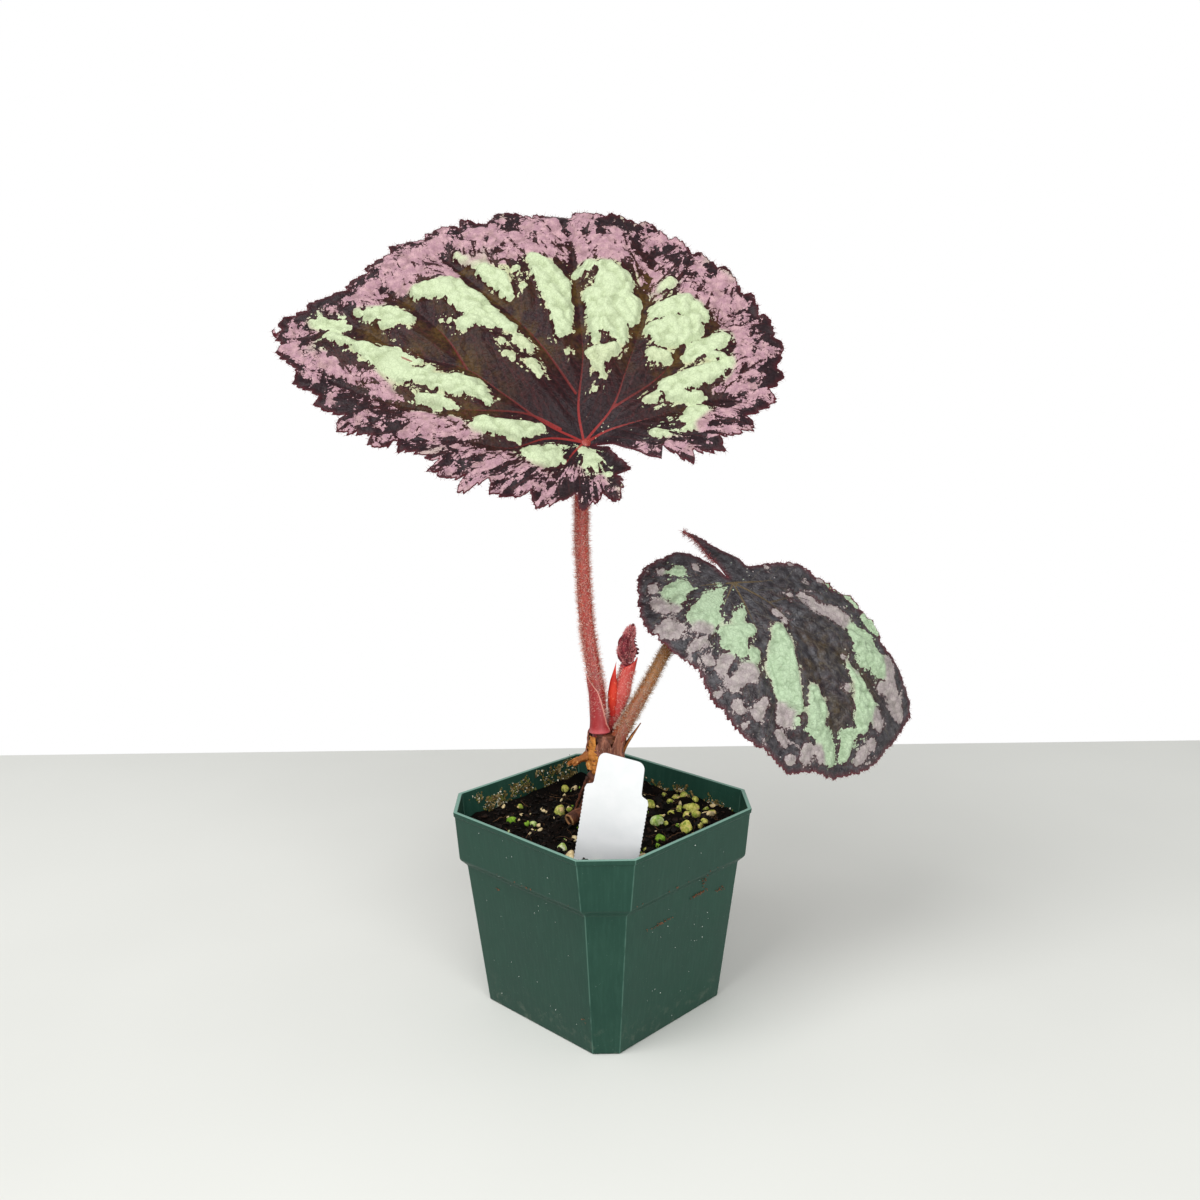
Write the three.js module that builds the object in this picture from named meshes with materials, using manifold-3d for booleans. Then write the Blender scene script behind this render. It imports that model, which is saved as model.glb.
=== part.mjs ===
// Rex begonia in a square nursery pot: two oblique, toothed leaves and a young shoot on a short
// upright rhizome. Millimetres, +Z up. The origin is the middle of the pot's flat base, and one
// cut corner of the pot faces -Y, the side that the leaves face.
import * as THREE from 'three';
import { mergeVertices } from 'three/addons/utils/BufferGeometryUtils.js';
import Module from 'manifold-3d';

// ---- Driving dimensions -------------------------------------------------------------------------

const GAP = 0.3; // clearance between pieces that touch

// The pot's wall at each level: height, half the width across the flats, and how much of each
// side the corner cut takes.
const WALL = 1.2;
const FLOOR = 1.6;
const BASE = { z: 0, half: 37.8, cut: 7.5 };
const BODY_TOP = { z: 62.2, half: 45.0, cut: 11.1 };
const BAND_FOOT = { z: 65.3, half: 48.1, cut: 13.2 };
const RIM = { z: 86.5, half: 50.8, cut: 15.7 };
const BEAD = { height: 2.2, proud: 0.45 };
const DRAIN = { radius: 4.5, ring: 31 };

const SOIL = { level: 75.5, lumps: 0.9, mound: 1.6, perSide: 5 };

// Granules that lie half sunk in the soil: first the largest, at these places, then seeded ones.
const GRAIN = { count: 46, smallest: 0.9, largest: 2.3 };
const LARGEST_GRAINS = [
  [-18, 14], [-38, 3.5], [-17, -26], [23, -1], [23.5, -15], [45, 10], [34, -10], [21, 26],
];

// The rhizome stands nearly upright. The crown is its top.
const RHIZOME = { root: 62, crown: 115, radius: 6.3, rings: 5 };

// The label's levels are measured up from the soil: its stake ends at -stake, its card is full
// width from cardFoot to shoulder, and its narrower head ends at top.
const LABEL = {
  thick: 0.8,
  head: 18.3,
  width: 25.4,
  stake: 36,
  cardFoot: -6,
  shoulder: 28,
  top: 42,
  round: 3,
  lean: 9.3,
  turn: 20,
  place: [0.6, -40, 78.4],
};

const BLADE_THICK = 0.9;

// Each blade lies about a tilted plane through the point where its stalk joins it. pitch is the
// plane's slope and turn its turn about Z. outline goes round the blade in that plane, x level and
// y up the slope, from one side of the notch to the other. veins start at the stalk.
const LARGE_LEAF = {
  joint: [-6.2, 4, 234.7],
  turn: 0,
  pitch: 54,
  segments: 192,
  outline: [
    [30, -15], [42, -15], [54, -10], [66, 1], [74, 12], [79, 27], [79, 40], [74, 56], [64, 72],
    [51, 85], [40, 95], [27, 104], [8, 109], [-14, 109], [-28, 110], [-42, 107], [-54, 105],
    [-66, 99], [-78, 94], [-89, 83], [-100, 71], [-114, 64], [-126, 53], [-122, 41], [-112, 23],
    [-103, 13], [-93, 1], [-78, -8], [-67, -10], [-57, -20], [-47, -27], [-36, -29], [-22, -33],
    [-6, -35], [5, -35], [13, -31], [17, -22], [14.5, -14], [10, -6.5],
  ],
  veins: [
    [[0, 0], [-14, 5], [-32, 18], [-46, 29], [-63, 35], [-77, 42], [-92, 53], [-116, 55]],
    [[-46, 29], [-55, 45], [-70, 62], [-82, 72]],
    [[-3, 19], [-20, 45], [-45, 73], [-60, 90]],
    [[0, 0], [-2, 12], [0, 36], [-3, 74], [-5, 99]],
    [[0, 0], [11, 12], [17, 28], [23, 48], [26, 64], [31, 91]],
    [[11, 12], [28, 23], [39, 35], [51, 47], [65, 59]],
    [[0, 0], [9, 3], [28, 7], [42, 11], [62, 16]],
    [[-9, 4], [-22, 9], [-45, 10], [-65, 11], [-86, 19], [-100, 27]],
    [[0, 0], [-14, -1], [-29, -7], [-45, -4], [-71, -3]],
    [[0, 0], [-5, -8], [-9, -16], [-15, -26]],
  ],
  teeth: { pitch: 9.2, depth: 3.0, lobe: 27, lobeDepth: 2.6 },
  relief: 3.0,
};
const SMALL_LEAF = {
  joint: [54.5, 12, 175.6],
  turn: 12,
  pitch: 60,
  segments: 128,
  outline: [
    [-5.5, 8.5], [-11, 14], [-17, 17], [-25, 16.5], [-34, 12], [-38, 4], [-39, -12], [-34, -23],
    [-23, -35], [-17, -49], [-9, -61], [3, -71], [13, -79], [24, -79.5], [36, -81.5], [48, -80],
    [60, -73], [71, -64], [79, -57], [79, -48], [72, -35], [65, -22], [56, -11], [44, -1],
    [31, 8], [22, 9], [13, 8], [8, 8], [5, 12], [-3, 18.5], [-14, 29],
  ],
  veins: [
    [[0, 0], [12, 0], [30, 1], [44, -4]],
    [[0, 0], [13, -10], [22, -21], [28, -35], [34, -58], [36, -80]],
    [[13, -10], [28, -8], [45, -18], [62, -27]],
    [[22, -21], [37, -29], [59, -46], [73, -58]],
    [[0, 0], [5, -20], [10, -40], [14, -66]],
    [[0, 0], [-8, -14], [-12, -30]],
    [[0, 0], [-16, 0], [-34, -4]],
  ],
  teeth: { pitch: 6.2, depth: 1.2, lobe: 21, lobeDepth: 1.2 },
  relief: 2.4,
};

// Stalks: the points of the middle line, and the radius at each end.
const LARGE_STALK = {
  points: [[-0.7, 1, 112.5], [-1.4, 3, 131.6], [-3.4, 5, 143.8], [-5.8, 7, 160.5], [-6.8, 8, 177.4],
    [-7.5, 9, 194], [-7.2, 10.5, 213]],
  foot: 3.6,
  top: 2.6,
};
const SMALL_STALK = {
  points: [[6.2, -0.4, 112.8], [9.5, 1.2, 118.6], [18.4, 6, 133], [28.5, 11, 149.8], [41, 17, 164]],
  foot: 3.1,
  top: 2.3,
};
const SHOOT_STALK = {
  points: [[4.2, 6.8, 112.5], [5.4, 6.8, 124.4], [8, 6.2, 134], [9.6, 5.6, 143.2]],
  foot: 2.3,
  top: 1.7,
};

// Colours, roughness.
const FINISH = {
  pot: [0x3b5a4c, 0.45],
  soil: [0x1c120d, 0.95],
  rhizome: [0x6b3d28, 0.8],
  dry: [0xb87633, 0.75],
  scale: [0x5a3422, 0.8],
  largeLeaf: [0x7a4a52, 0.45],
  smallLeaf: [0x5d5558, 0.45],
  redStalk: [0xaf4b41, 0.5],
  oliveStalk: [0x966e3c, 0.55],
  sheath: [0xa82a38, 0.35],
  shoot: [0xbe4040, 0.45],
  youngLeaf: [0x7a2433, 0.6],
  label: [0xf0f0f2, 0.4],
};

// ---- Tools --------------------------------------------------------------------------------------

const wasm = await Module();
wasm.setup();

const degrees = (angle) => (angle * Math.PI) / 180;
const mix = (a, b, t) => a + (b - a) * t;
const vector = ([x, y, z]) => new THREE.Vector3(x, y, z);

// A repeatable random number from 0 to 1.
let seed = 7;
function random() {
  seed = (seed * 16807) % 2147483647;
  return seed / 2147483647;
}

function toSolid(geometry) {
  const bare = geometry.clone();
  bare.deleteAttribute('normal');
  bare.deleteAttribute('uv');
  const merged = mergeVertices(bare, 1e-4);
  const vertProperties = new Float32Array(merged.attributes.position.array);
  const triVerts = new Uint32Array(merged.index.array);
  return new wasm.Manifold(new wasm.Mesh({ numProp: 3, vertProperties, triVerts }));
}

function toGeometry(solid) {
  const { vertProperties, triVerts } = solid.getMesh();
  return meshOf(Array.from(vertProperties), Array.from(triVerts));
}

function meshOf(positions, triangles) {
  const geometry = new THREE.BufferGeometry();
  geometry.setAttribute('position', new THREE.Float32BufferAttribute(positions, 3));
  geometry.setIndex(triangles);
  geometry.computeVertexNormals();
  return geometry;
}

// A closed body through rings of equally many points, each ring counter-clockwise from above when
// the body is built upwards. The first and last ring are closed with a fan.
function loft(rings) {
  const count = rings[0].length;
  const positions = rings.flatMap((ring) => ring.flatMap((p) => p.toArray()));
  const triangles = [];
  for (let k = 0; k + 1 < rings.length; k += 1) {
    for (let i = 0; i < count; i += 1) {
      const a = k * count + i;
      const b = k * count + ((i + 1) % count);
      triangles.push(a, b, b + count, a, b + count, a + count);
    }
  }
  for (const level of [0, rings.length - 1]) {
    const middle = rings[level].reduce((sum, p) => sum.add(p), new THREE.Vector3()).divideScalar(count);
    const hub = positions.length / 3;
    positions.push(...middle.toArray());
    for (let i = 0; i < count; i += 1) {
      const a = level * count + i;
      const b = level * count + ((i + 1) % count);
      triangles.push(...(level ? [hub, a, b] : [hub, b, a]));
    }
  }
  return meshOf(positions, triangles);
}

// A closed plate over a grid: place(u, v, side) gives its outer face for side 1 and its inner face
// for side 0, with u and v from 0 to 1.
function plate(across, along, place) {
  const positions = [];
  const index = (i, j, side) => (side * (along + 1) + j) * (across + 1) + i;
  for (const side of [0, 1]) {
    for (let j = 0; j <= along; j += 1) {
      for (let i = 0; i <= across; i += 1) {
        positions.push(...place(i / across, j / along, side).toArray());
      }
    }
  }
  const triangles = [];
  const quad = (a, b, c, d) => triangles.push(a, b, c, a, c, d);
  for (let j = 0; j < along; j += 1) {
    for (let i = 0; i < across; i += 1) {
      quad(index(i, j, 1), index(i + 1, j, 1), index(i + 1, j + 1, 1), index(i, j + 1, 1));
      quad(index(i, j, 0), index(i, j + 1, 0), index(i + 1, j + 1, 0), index(i + 1, j, 0));
    }
    quad(index(0, j, 0), index(0, j, 1), index(0, j + 1, 1), index(0, j + 1, 0));
    quad(index(across, j, 1), index(across, j, 0), index(across, j + 1, 0), index(across, j + 1, 1));
  }
  for (let i = 0; i < across; i += 1) {
    quad(index(i, 0, 0), index(i + 1, 0, 0), index(i + 1, 0, 1), index(i, 0, 1));
    quad(index(i, along, 1), index(i + 1, along, 1), index(i + 1, along, 0), index(i, along, 0));
  }
  return meshOf(positions, triangles);
}

// A tube along a curve, its radius given by radiusAt(t) for t from 0 at the foot to 1 at the end.
function stalk(curve, radiusAt, sides = 10, steps = 22) {
  const section = new THREE.Shape();
  for (let i = 0; i < sides; i += 1) {
    const angle = (2 * Math.PI * i) / sides;
    section[i ? 'lineTo' : 'moveTo'](Math.cos(angle), Math.sin(angle));
  }
  const tube = new THREE.ExtrudeGeometry(section, { steps, bevelEnabled: false, extrudePath: curve });
  const stations = curve.getSpacedPoints(steps);
  const { position } = tube.attributes;
  const point = new THREE.Vector3();
  for (let i = 0; i < position.count; i += 1) {
    point.fromBufferAttribute(position, i);
    const distances = stations.map((station) => station.distanceTo(point));
    const nearest = distances.indexOf(Math.min(...distances));
    const middle = stations[nearest];
    point.sub(middle).multiplyScalar(radiusAt(nearest / steps)).add(middle);
    position.setXYZ(i, ...point.toArray());
  }
  return tube;
}

const curveOf = (points) => new THREE.CatmullRomCurve3(points.map(vector));

// A leaf stalk that flares a little at its foot. head is where it meets its blade, and grow makes
// it fatter, for the socket it stands in.
function leafStalk({ points, foot, top }, head = [], grow = 0) {
  return stalk(curveOf([...points, ...head]), (t) => mix(foot, top, Math.min(1, t * 2.2)) + grow);
}

// ---- Pot ----------------------------------------------------------------------------------------

// Points round the pot's cut square at one level, with perSide points on each of its eight sides.
function octagon({ half, cut, z }, perSide = 1) {
  const near = half - cut;
  const corners = [[half, -near], [half, near], [near, half], [-near, half],
    [-half, near], [-half, -near], [-near, -half], [near, -half]];
  const ring = [];
  corners.forEach(([x0, y0], k) => {
    const [x1, y1] = corners[(k + 1) % corners.length];
    for (let i = 0; i < perSide; i += 1) {
      ring.push(new THREE.Vector3(mix(x0, x1, i / perSide), mix(y0, y1, i / perSide), z));
    }
  });
  const turn = new THREE.Matrix4().makeRotationZ(Math.PI / 4);
  return ring.map((p) => p.applyMatrix4(turn));
}

// The level moved in by a distance, measured square to each of the eight sides.
function inset({ z, half, cut }, by) {
  return { z, half: half - by, cut: cut - by * (2 - Math.SQRT2) };
}

function between(low, high, z) {
  const t = (z - low.z) / (high.z - low.z);
  return { z, half: mix(low.half, high.half, t), cut: mix(low.cut, high.cut, t) };
}

function pot() {
  const band = inset(RIM, BEAD.proud);
  const beadFoot = between(BAND_FOOT, band, RIM.z - BEAD.height);
  const beadLow = { ...inset(beadFoot, -BEAD.proud), z: beadFoot.z + BEAD.proud };
  const outside = [BASE, BODY_TOP, BAND_FOOT, beadFoot, beadLow, RIM];
  const floor = between(BASE, BODY_TOP, FLOOR);
  const inside = [band, BAND_FOOT, BODY_TOP, floor].map((level) => inset(level, WALL));
  const shell = toSolid(loft([...outside, ...inside].map((level) => octagon(level))));
  const holes = [0, 1, 2, 3].map((side) => {
    const hole = new THREE.CylinderGeometry(DRAIN.radius, DRAIN.radius, 4 * FLOOR, 16);
    hole.rotateX(Math.PI / 2);
    hole.translate(DRAIN.ring, 0, 0);
    hole.rotateZ((side * Math.PI) / 2);
    return toSolid(hole);
  });
  return toGeometry(holes.reduce((body, hole) => body.subtract(hole), shell));
}

// ---- Rhizome and label --------------------------------------------------------------------------

// The upright stem with its ringed leaf scars and the cut stub of an older stem lying in front.
function rhizomeSolid(grow = 0) {
  const { root, crown, radius, rings } = RHIZOME;
  const low = root - grow;
  const stem = curveOf([[-1, 1, low], [-1, 1, 78], [0.6, 1.4, 96], [2.2, 2, crown + grow]]);
  const ringed = (t) => radius + 0.45 * Math.cos(2 * Math.PI * rings * t) + grow;
  const stub = curveOf([[-3, 0, 84], [-9.5, -3, 82], [-13.6, -6.2 - grow, 80.6]]);
  const roots = [
    curveOf([[-6, 2, 90], [-9, 1.5, 82], [-11, 3, 73 - grow]]),
    curveOf([[3, 4, 88], [8, 3, 81], [10.5, 2, 73 - grow]]),
  ];
  const body = toSolid(stalk(stem, ringed, 12, 20))
    .add(toSolid(stalk(stub, (t) => mix(2.2, 2.7, t) + grow, 10, 6)));
  return roots.reduce(
    (whole, line) => whole.add(toSolid(stalk(line, (t) => mix(1.3, 0.8, t) + grow, 6, 6))),
    body,
  );
}

function rhizome() {
  const sockets = [LARGE_STALK, SMALL_STALK, SHOOT_STALK].map(
    (leaf) => toSolid(leafStalk({ ...leaf, points: sunk(leaf.points) }, [], GAP)),
  );
  return toGeometry(sockets.reduce((body, socket) => body.subtract(socket), rhizomeSolid()));
}

// The same points with the foot a gap lower, for the socket's floor.
function sunk(points) {
  const [foot, next, ...rest] = points.map(vector);
  const down = foot.clone().sub(next).setLength(GAP);
  return [foot.clone().add(down), next, ...rest].map((p) => p.toArray());
}

// The label's outline: a narrower head with round corners, shoulders, and a stake below the soil.
function label(grow = 0) {
  const { stake, cardFoot, shoulder, round } = LABEL;
  const h = LABEL.head / 2 + grow;
  const w = LABEL.width / 2 + grow;
  const top = LABEL.top + grow;
  const depth = LABEL.thick + 2 * grow;
  const shape = new THREE.Shape();
  shape.moveTo(0, -stake - 2 * grow);
  shape.lineTo(w, cardFoot);
  shape.lineTo(w, shoulder - 1.5);
  shape.lineTo(h + 0.6, shoulder + 1);
  shape.lineTo(h, top - round);
  shape.absarc(h - round, top - round, round, 0, Math.PI / 2);
  shape.absarc(round - h, top - round, round, Math.PI / 2, Math.PI);
  shape.lineTo(-h - 0.6, shoulder + 1);
  shape.lineTo(-w, shoulder - 1.5);
  shape.lineTo(-w, cardFoot);
  const card = new THREE.ExtrudeGeometry(shape, { depth, bevelEnabled: false, curveSegments: 3 });
  card.translate(0, 0, -depth / 2);
  card.rotateX(Math.PI / 2);
  card.rotateY(degrees(LABEL.lean));
  card.rotateZ(degrees(-LABEL.turn));
  card.translate(...LABEL.place);
  return card;
}

// ---- Soil ---------------------------------------------------------------------------------------

function soilHeight(x, y) {
  const lumps = Math.sin(x * 0.31 + 1) * Math.cos(y * 0.27) + 0.6 * Math.sin(x * 0.63 - y * 0.51);
  const mound = Math.exp(-(x * x + y * y) / 300);
  return SOIL.level + SOIL.lumps * lumps + SOIL.mound * mound;
}

function grains() {
  const spots = LARGEST_GRAINS.map(([x, y]) => ({ x, y, size: GRAIN.largest }));
  while (spots.length < GRAIN.count) {
    const x = mix(-52, 52, random());
    const y = mix(-52, 52, random());
    const size = mix(GRAIN.smallest, GRAIN.largest, random() ** 2);
    const inPot = Math.abs(x) + Math.abs(y) < 58 && Math.max(Math.abs(x), Math.abs(y)) < 50;
    const offRhizome = Math.hypot(x, y) > 15;
    const offLabel = Math.hypot(x, 2 * (y - LABEL.place[1])) > 19;
    if (inPot && offRhizome && offLabel) spots.push({ x, y, size });
  }
  return spots.map(({ x, y, size }) => {
    const Shape = size > 1.6 ? THREE.IcosahedronGeometry : THREE.OctahedronGeometry;
    const grain = new Shape(size, 0);
    grain.scale(1, mix(0.7, 1, random()), mix(0.6, 0.9, random()));
    grain.rotateZ(2 * Math.PI * random());
    grain.rotateX(random());
    grain.translate(x, y, soilHeight(x, y) + 0.25 * size);
    return toSolid(grain);
  });
}

function soil() {
  const skin = WALL + 1.4 * GAP;
  const top = between(BAND_FOOT, inset(RIM, BEAD.proud), SOIL.level);
  const floor = { ...between(BASE, BODY_TOP, FLOOR), z: FLOOR + GAP };
  const walls = [floor, BODY_TOP, BAND_FOOT].map((level) => octagon(inset(level, skin), SOIL.perSide));
  const edge = octagon(inset(top, skin), SOIL.perSide);
  const surface = [1, 0.88, 0.74, 0.6, 0.46, 0.32, 0.18].map((scale) => edge.map((p) => {
    const x = p.x * scale;
    const y = p.y * scale;
    return new THREE.Vector3(x, y, soilHeight(x, y));
  }));
  const bed = toSolid(loft([...walls, ...surface]));
  const filled = grains().reduce((body, grain) => body.add(grain), bed);
  const pieces = filled.subtract(rhizomeSolid(GAP)).subtract(toSolid(label(GAP))).decompose();
  // Granules that a hole cuts loose are left out.
  pieces.sort((a, b) => b.volume() - a.volume());
  return toGeometry(pieces[0]);
}

// ---- Leaves -------------------------------------------------------------------------------------

// How far the point lies from the nearest vein.
function veinDistance(veins, x, y) {
  let nearest = Infinity;
  for (const vein of veins) {
    for (let i = 0; i + 1 < vein.length; i += 1) {
      const [x0, y0] = vein[i];
      const [dx, dy] = [vein[i + 1][0] - x0, vein[i + 1][1] - y0];
      const t = Math.min(1, Math.max(0, ((x - x0) * dx + (y - y0) * dy) / (dx * dx + dy * dy)));
      nearest = Math.min(nearest, Math.hypot(x - x0 - t * dx, y - y0 - t * dy));
    }
  }
  return nearest;
}

// The height of each blade over its plane, before the quilting between its veins: the large leaf is
// a shallow funnel about its stalk, and the small one hangs over like a shell.
function funnel(x, y) {
  const reach = Math.hypot(x, y, 4) - 4;
  return 11 * (1 - Math.exp(-reach / 24)) - 7 * ((x * x + y * y) / 1e4);
}
function shell(x, y) {
  const bow = (dx, dy) => (dx * dx + dy * dy) / (13.5 * 13.5);
  return bow(8, -28) - bow(x - 8, y + 28);
}

// A saw wave from 0 to 1 that rises slowly and drops fast, for teeth that point along the edge.
const saw = (s) => {
  const t = s - Math.floor(s);
  return t < 0.7 ? t / 0.7 : (1 - t) / 0.3;
};

// The blade's plane: its level direction, its direction up the slope and its upper side's normal.
function planeOf({ turn, pitch }) {
  const [spin, rise] = [degrees(turn), degrees(pitch)];
  const across = new THREE.Vector3(Math.cos(spin), Math.sin(spin), 0);
  const slope = new THREE.Vector3(
    -Math.sin(spin) * Math.cos(rise),
    Math.cos(spin) * Math.cos(rise),
    Math.sin(rise),
  );
  return { across, slope, normal: across.clone().cross(slope) };
}

// The last points of a stalk's middle line, which runs square into the blade's underside.
function stalkHead(leaf, form) {
  const { across, slope, normal } = planeOf(leaf);
  normal.addScaledVector(across, form(-0.5, 0) - form(0.5, 0));
  normal.addScaledVector(slope, form(0, -0.5) - form(0, 0.5)).normalize();
  return [9, BLADE_THICK + GAP + 0.1].map((below) => (
    vector(leaf.joint).addScaledVector(normal, -below).toArray()
  ));
}

function blade(leaf, form) {
  const { veins, segments, relief, teeth } = leaf;
  const edge = new THREE.CatmullRomCurve3(leaf.outline.map(([x, y]) => new THREE.Vector3(x, y, 0)));
  edge.arcLengthDivisions = 2000;
  const length = edge.getLength();
  const margin = edge.getSpacedPoints(segments);
  const notch = margin.map((p, i) => {
    const s = (length * i) / segments;
    const deep = teeth.depth * saw(s / teeth.pitch) + teeth.lobeDepth * saw(s / teeth.lobe);
    return Math.min(0.12, deep / p.length());
  });
  const { across, slope, normal } = planeOf(leaf);
  const quilt = (x, y) => {
    const off = veinDistance(veins, x, y);
    return relief * (1 - Math.exp(-((off / 7) ** 2))) * Math.min(1, Math.hypot(x, y) / 25);
  };
  const place = (x, y, lift) => vector(leaf.joint)
    .addScaledVector(across, x)
    .addScaledVector(slope, y)
    .addScaledVector(normal, form(x, y) + quilt(x, y) + lift);

  // Rings from the stalk out to the edge: how far out, and how many of the edge's steps one of
  // their sectors spans.
  const rings = [
    [0.07, 8], [0.16, 8], [0.28, 4], [0.41, 4], [0.54, 2], [0.68, 2], [0.82, 2], [0.93, 1], [1, 1],
  ];
  const positions = [];
  const top = [[0]];
  const put = (x, y) => {
    positions.push(place(x, y, 0));
    return positions.length - 1;
  };
  put(0, 0);
  for (const [reach, stride] of rings) {
    const ring = [];
    for (let i = 0; i <= segments; i += stride) {
      const scale = reach * (1 - notch[i] * reach ** 6);
      ring.push(put(margin[i].x * scale, margin[i].y * scale));
    }
    top.push(ring);
  }
  const faces = [];
  top[1].slice(1).forEach((b, i) => faces.push([0, top[1][i], b]));
  for (let k = 1; k + 1 < top.length; k += 1) {
    const [inner, outer] = [top[k], top[k + 1]];
    for (let i = 0; i + 1 < inner.length; i += 1) {
      const [a, b] = [inner[i], inner[i + 1]];
      if (outer.length > inner.length) {
        const [c, d, e] = outer.slice(2 * i, 2 * i + 3);
        faces.push([a, c, d], [a, d, b], [b, d, e]);
      } else {
        const [c, d] = outer.slice(i, i + 2);
        faces.push([a, c, d], [a, d, b]);
      }
    }
  }
  const count = positions.length;
  const under = positions.map((p) => p.clone().addScaledVector(normal, -BLADE_THICK));
  const rim = [
    ...top.map((ring) => ring[0]),
    ...top.at(-1).slice(1),
    ...top.slice(0, -1).reverse().map((ring) => ring.at(-1)),
  ];
  const triangles = faces.flatMap(([a, b, c]) => [a, b, c, a + count, c + count, b + count]);
  for (let i = 0; i + 1 < rim.length; i += 1) {
    const [a, b] = [rim[i], rim[i + 1]];
    triangles.push(a, a + count, b + count, a, b + count, b);
  }
  return meshOf([...positions, ...under].flatMap((p) => p.toArray()), triangles);
}

// ---- Sheaths, scales and the folded young leaf --------------------------------------------------

// A curved plate that wraps part of the way round a curve: radius and half-angle along it, and the
// direction it faces, as an angle about the curve from +X.
function sheath(curve, { radius, wrap, facing, thick = 0.7, across = 6, along = 8 }) {
  return plate(across, along, (u, v, side) => {
    const middle = curve.getPointAt(v);
    const forward = curve.getTangentAt(v);
    const right = new THREE.Vector3(0, 1, 0).cross(forward).normalize();
    const back = forward.clone().cross(right);
    const angle = degrees(facing + (2 * u - 1) * wrap(v));
    const reach = radius(v, angle) + side * thick;
    middle.addScaledVector(right, reach * Math.cos(angle));
    return middle.addScaledVector(back, reach * Math.sin(angle));
  });
}

const pointed = (t, full) => Math.max(0.05, 1 - t ** 2) * full;

function stalkSheath() {
  const foot = RHIZOME.crown + 1.1;
  const curve = curveOf([[-0.8, 1.3, foot], [-1, 2, 124], [-1.4, 3, 131.6], [-3, 4.7, 142]]);
  return sheath(curve, {
    radius: (v) => mix(3.6, 3.2, v) + GAP + 0.15,
    wrap: (v) => pointed(v, 105),
    facing: -110,
    across: 8,
  });
}

function shootSheath() {
  const foot = RHIZOME.crown + 1.1;
  const curve = curveOf([[4.5, 6.8, foot], [5.4, 6.8, 124.4], [8, 6.2, 134], [11.4, 5.6, 145]]);
  return sheath(curve, {
    radius: (v) => 2.65 + 0.8 * Math.sin(Math.PI * v) ** 2,
    wrap: (v) => pointed(v, 80),
    facing: -10,
  });
}

function shootStipule() {
  const curve = curveOf([[3.6, 5.6, 122], [3.2, 4.6, 130], [4.6, 4.2, 138], [6, 4, 145]]);
  return sheath(curve, {
    radius: () => 0.9,
    wrap: (v) => pointed(v, 70),
    facing: 180,
    thick: 0.6,
    across: 3,
    along: 6,
  });
}

// The young leaf is still folded about its midrib, its two toothed halves rolled towards each other.
function youngLeaf() {
  const curve = curveOf([[9.6, 5.1, 144], [9.4, 4.6, 149.5], [10.8, 4.6, 155.5], [13, 4.8, 161.4]]);
  const width = (v) => 0.5 + 3.1 * Math.sin(Math.PI * Math.min(1, 0.06 + 0.94 * v ** 0.8)) ** 0.8;
  return sheath(curve, {
    radius: (v, angle) => width(v) * (1 + 0.1 * Math.sin(7 * angle + 9 * v)),
    wrap: () => 158,
    facing: -80,
    across: 16,
    along: 10,
  });
}

function paperyScale() {
  const curve = curveOf([[1.7, 1.8, 108.9], [2, 1.9, 111.5], [2.2, 2, 114.2]]);
  return sheath(curve, {
    radius: (v, angle) => 7.1 + 0.15 * Math.sin(9 * angle + 8 * v),
    wrap: (v) => mix(26, 15, v),
    facing: -150,
    thick: 0.6,
    along: 5,
  });
}

function dryScale() {
  const curve = curveOf([[7.7, 0.6, 108.2], [10.5, 0.4, 113.5], [14.7, 1, 120.4]]);
  return sheath(curve, {
    radius: () => 1.2,
    wrap: (v) => pointed(v, 75),
    facing: 0,
    thick: 0.6,
    across: 4,
    along: 6,
  });
}

function deadStalk() {
  const curve = curveOf([[-4.4, 0.3, 106.2], [-8.6, -0.4, 105.0], [-12.2, -1, 102.8]]);
  const stump = stalk(curve, (t) => 1.9 - 1.1 * t + 0.25 * Math.sin(9 * t), 8, 6);
  return toGeometry(toSolid(stump).subtract(rhizomeSolid(GAP)));
}

// ---- The plant in its pot -----------------------------------------------------------------------

const plant = new THREE.Group();

function add(name, geometry, [color, roughness]) {
  const material = new THREE.MeshStandardMaterial({ color, roughness, metalness: 0 });
  const mesh = new THREE.Mesh(geometry, material);
  mesh.name = name;
  plant.add(mesh);
}

add('pot', pot(), FINISH.pot);
add('soil', soil(), FINISH.soil);
add('rhizome', rhizome(), FINISH.rhizome);
add('papery_scale', paperyScale(), FINISH.dry);
add('dead_stalk', deadStalk(), FINISH.dry);
add('dry_scale', dryScale(), FINISH.scale);
add('stalk_large', leafStalk(LARGE_STALK, stalkHead(LARGE_LEAF, funnel)), FINISH.redStalk);
add('stalk_small', leafStalk(SMALL_STALK, stalkHead(SMALL_LEAF, shell)), FINISH.oliveStalk);
add('stalk_sheath', stalkSheath(), FINISH.sheath);
add('leaf_large', blade(LARGE_LEAF, funnel), FINISH.largeLeaf);
add('leaf_small', blade(SMALL_LEAF, shell), FINISH.smallLeaf);
add('shoot_stalk', leafStalk(SHOOT_STALK), FINISH.shoot);
add('shoot_sheath', shootSheath(), FINISH.shoot);
add('shoot_stipule', shootStipule(), FINISH.sheath);
add('shoot_leaf', youngLeaf(), FINISH.youngLeaf);
add('label', label(), FINISH.label);

export default plant;
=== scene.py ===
"""A rex begonia in a square nursery pot, built round its CAD frame.

Lengths are millimetres until a mesh is made. +Z is up, and the leaves face -Y.
"""
import math

import bmesh
import bpy
import numpy as np
from mathutils import Matrix, Vector
from mathutils.geometry import delaunay_2d_cdt
from mathutils.kdtree import KDTree


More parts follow.
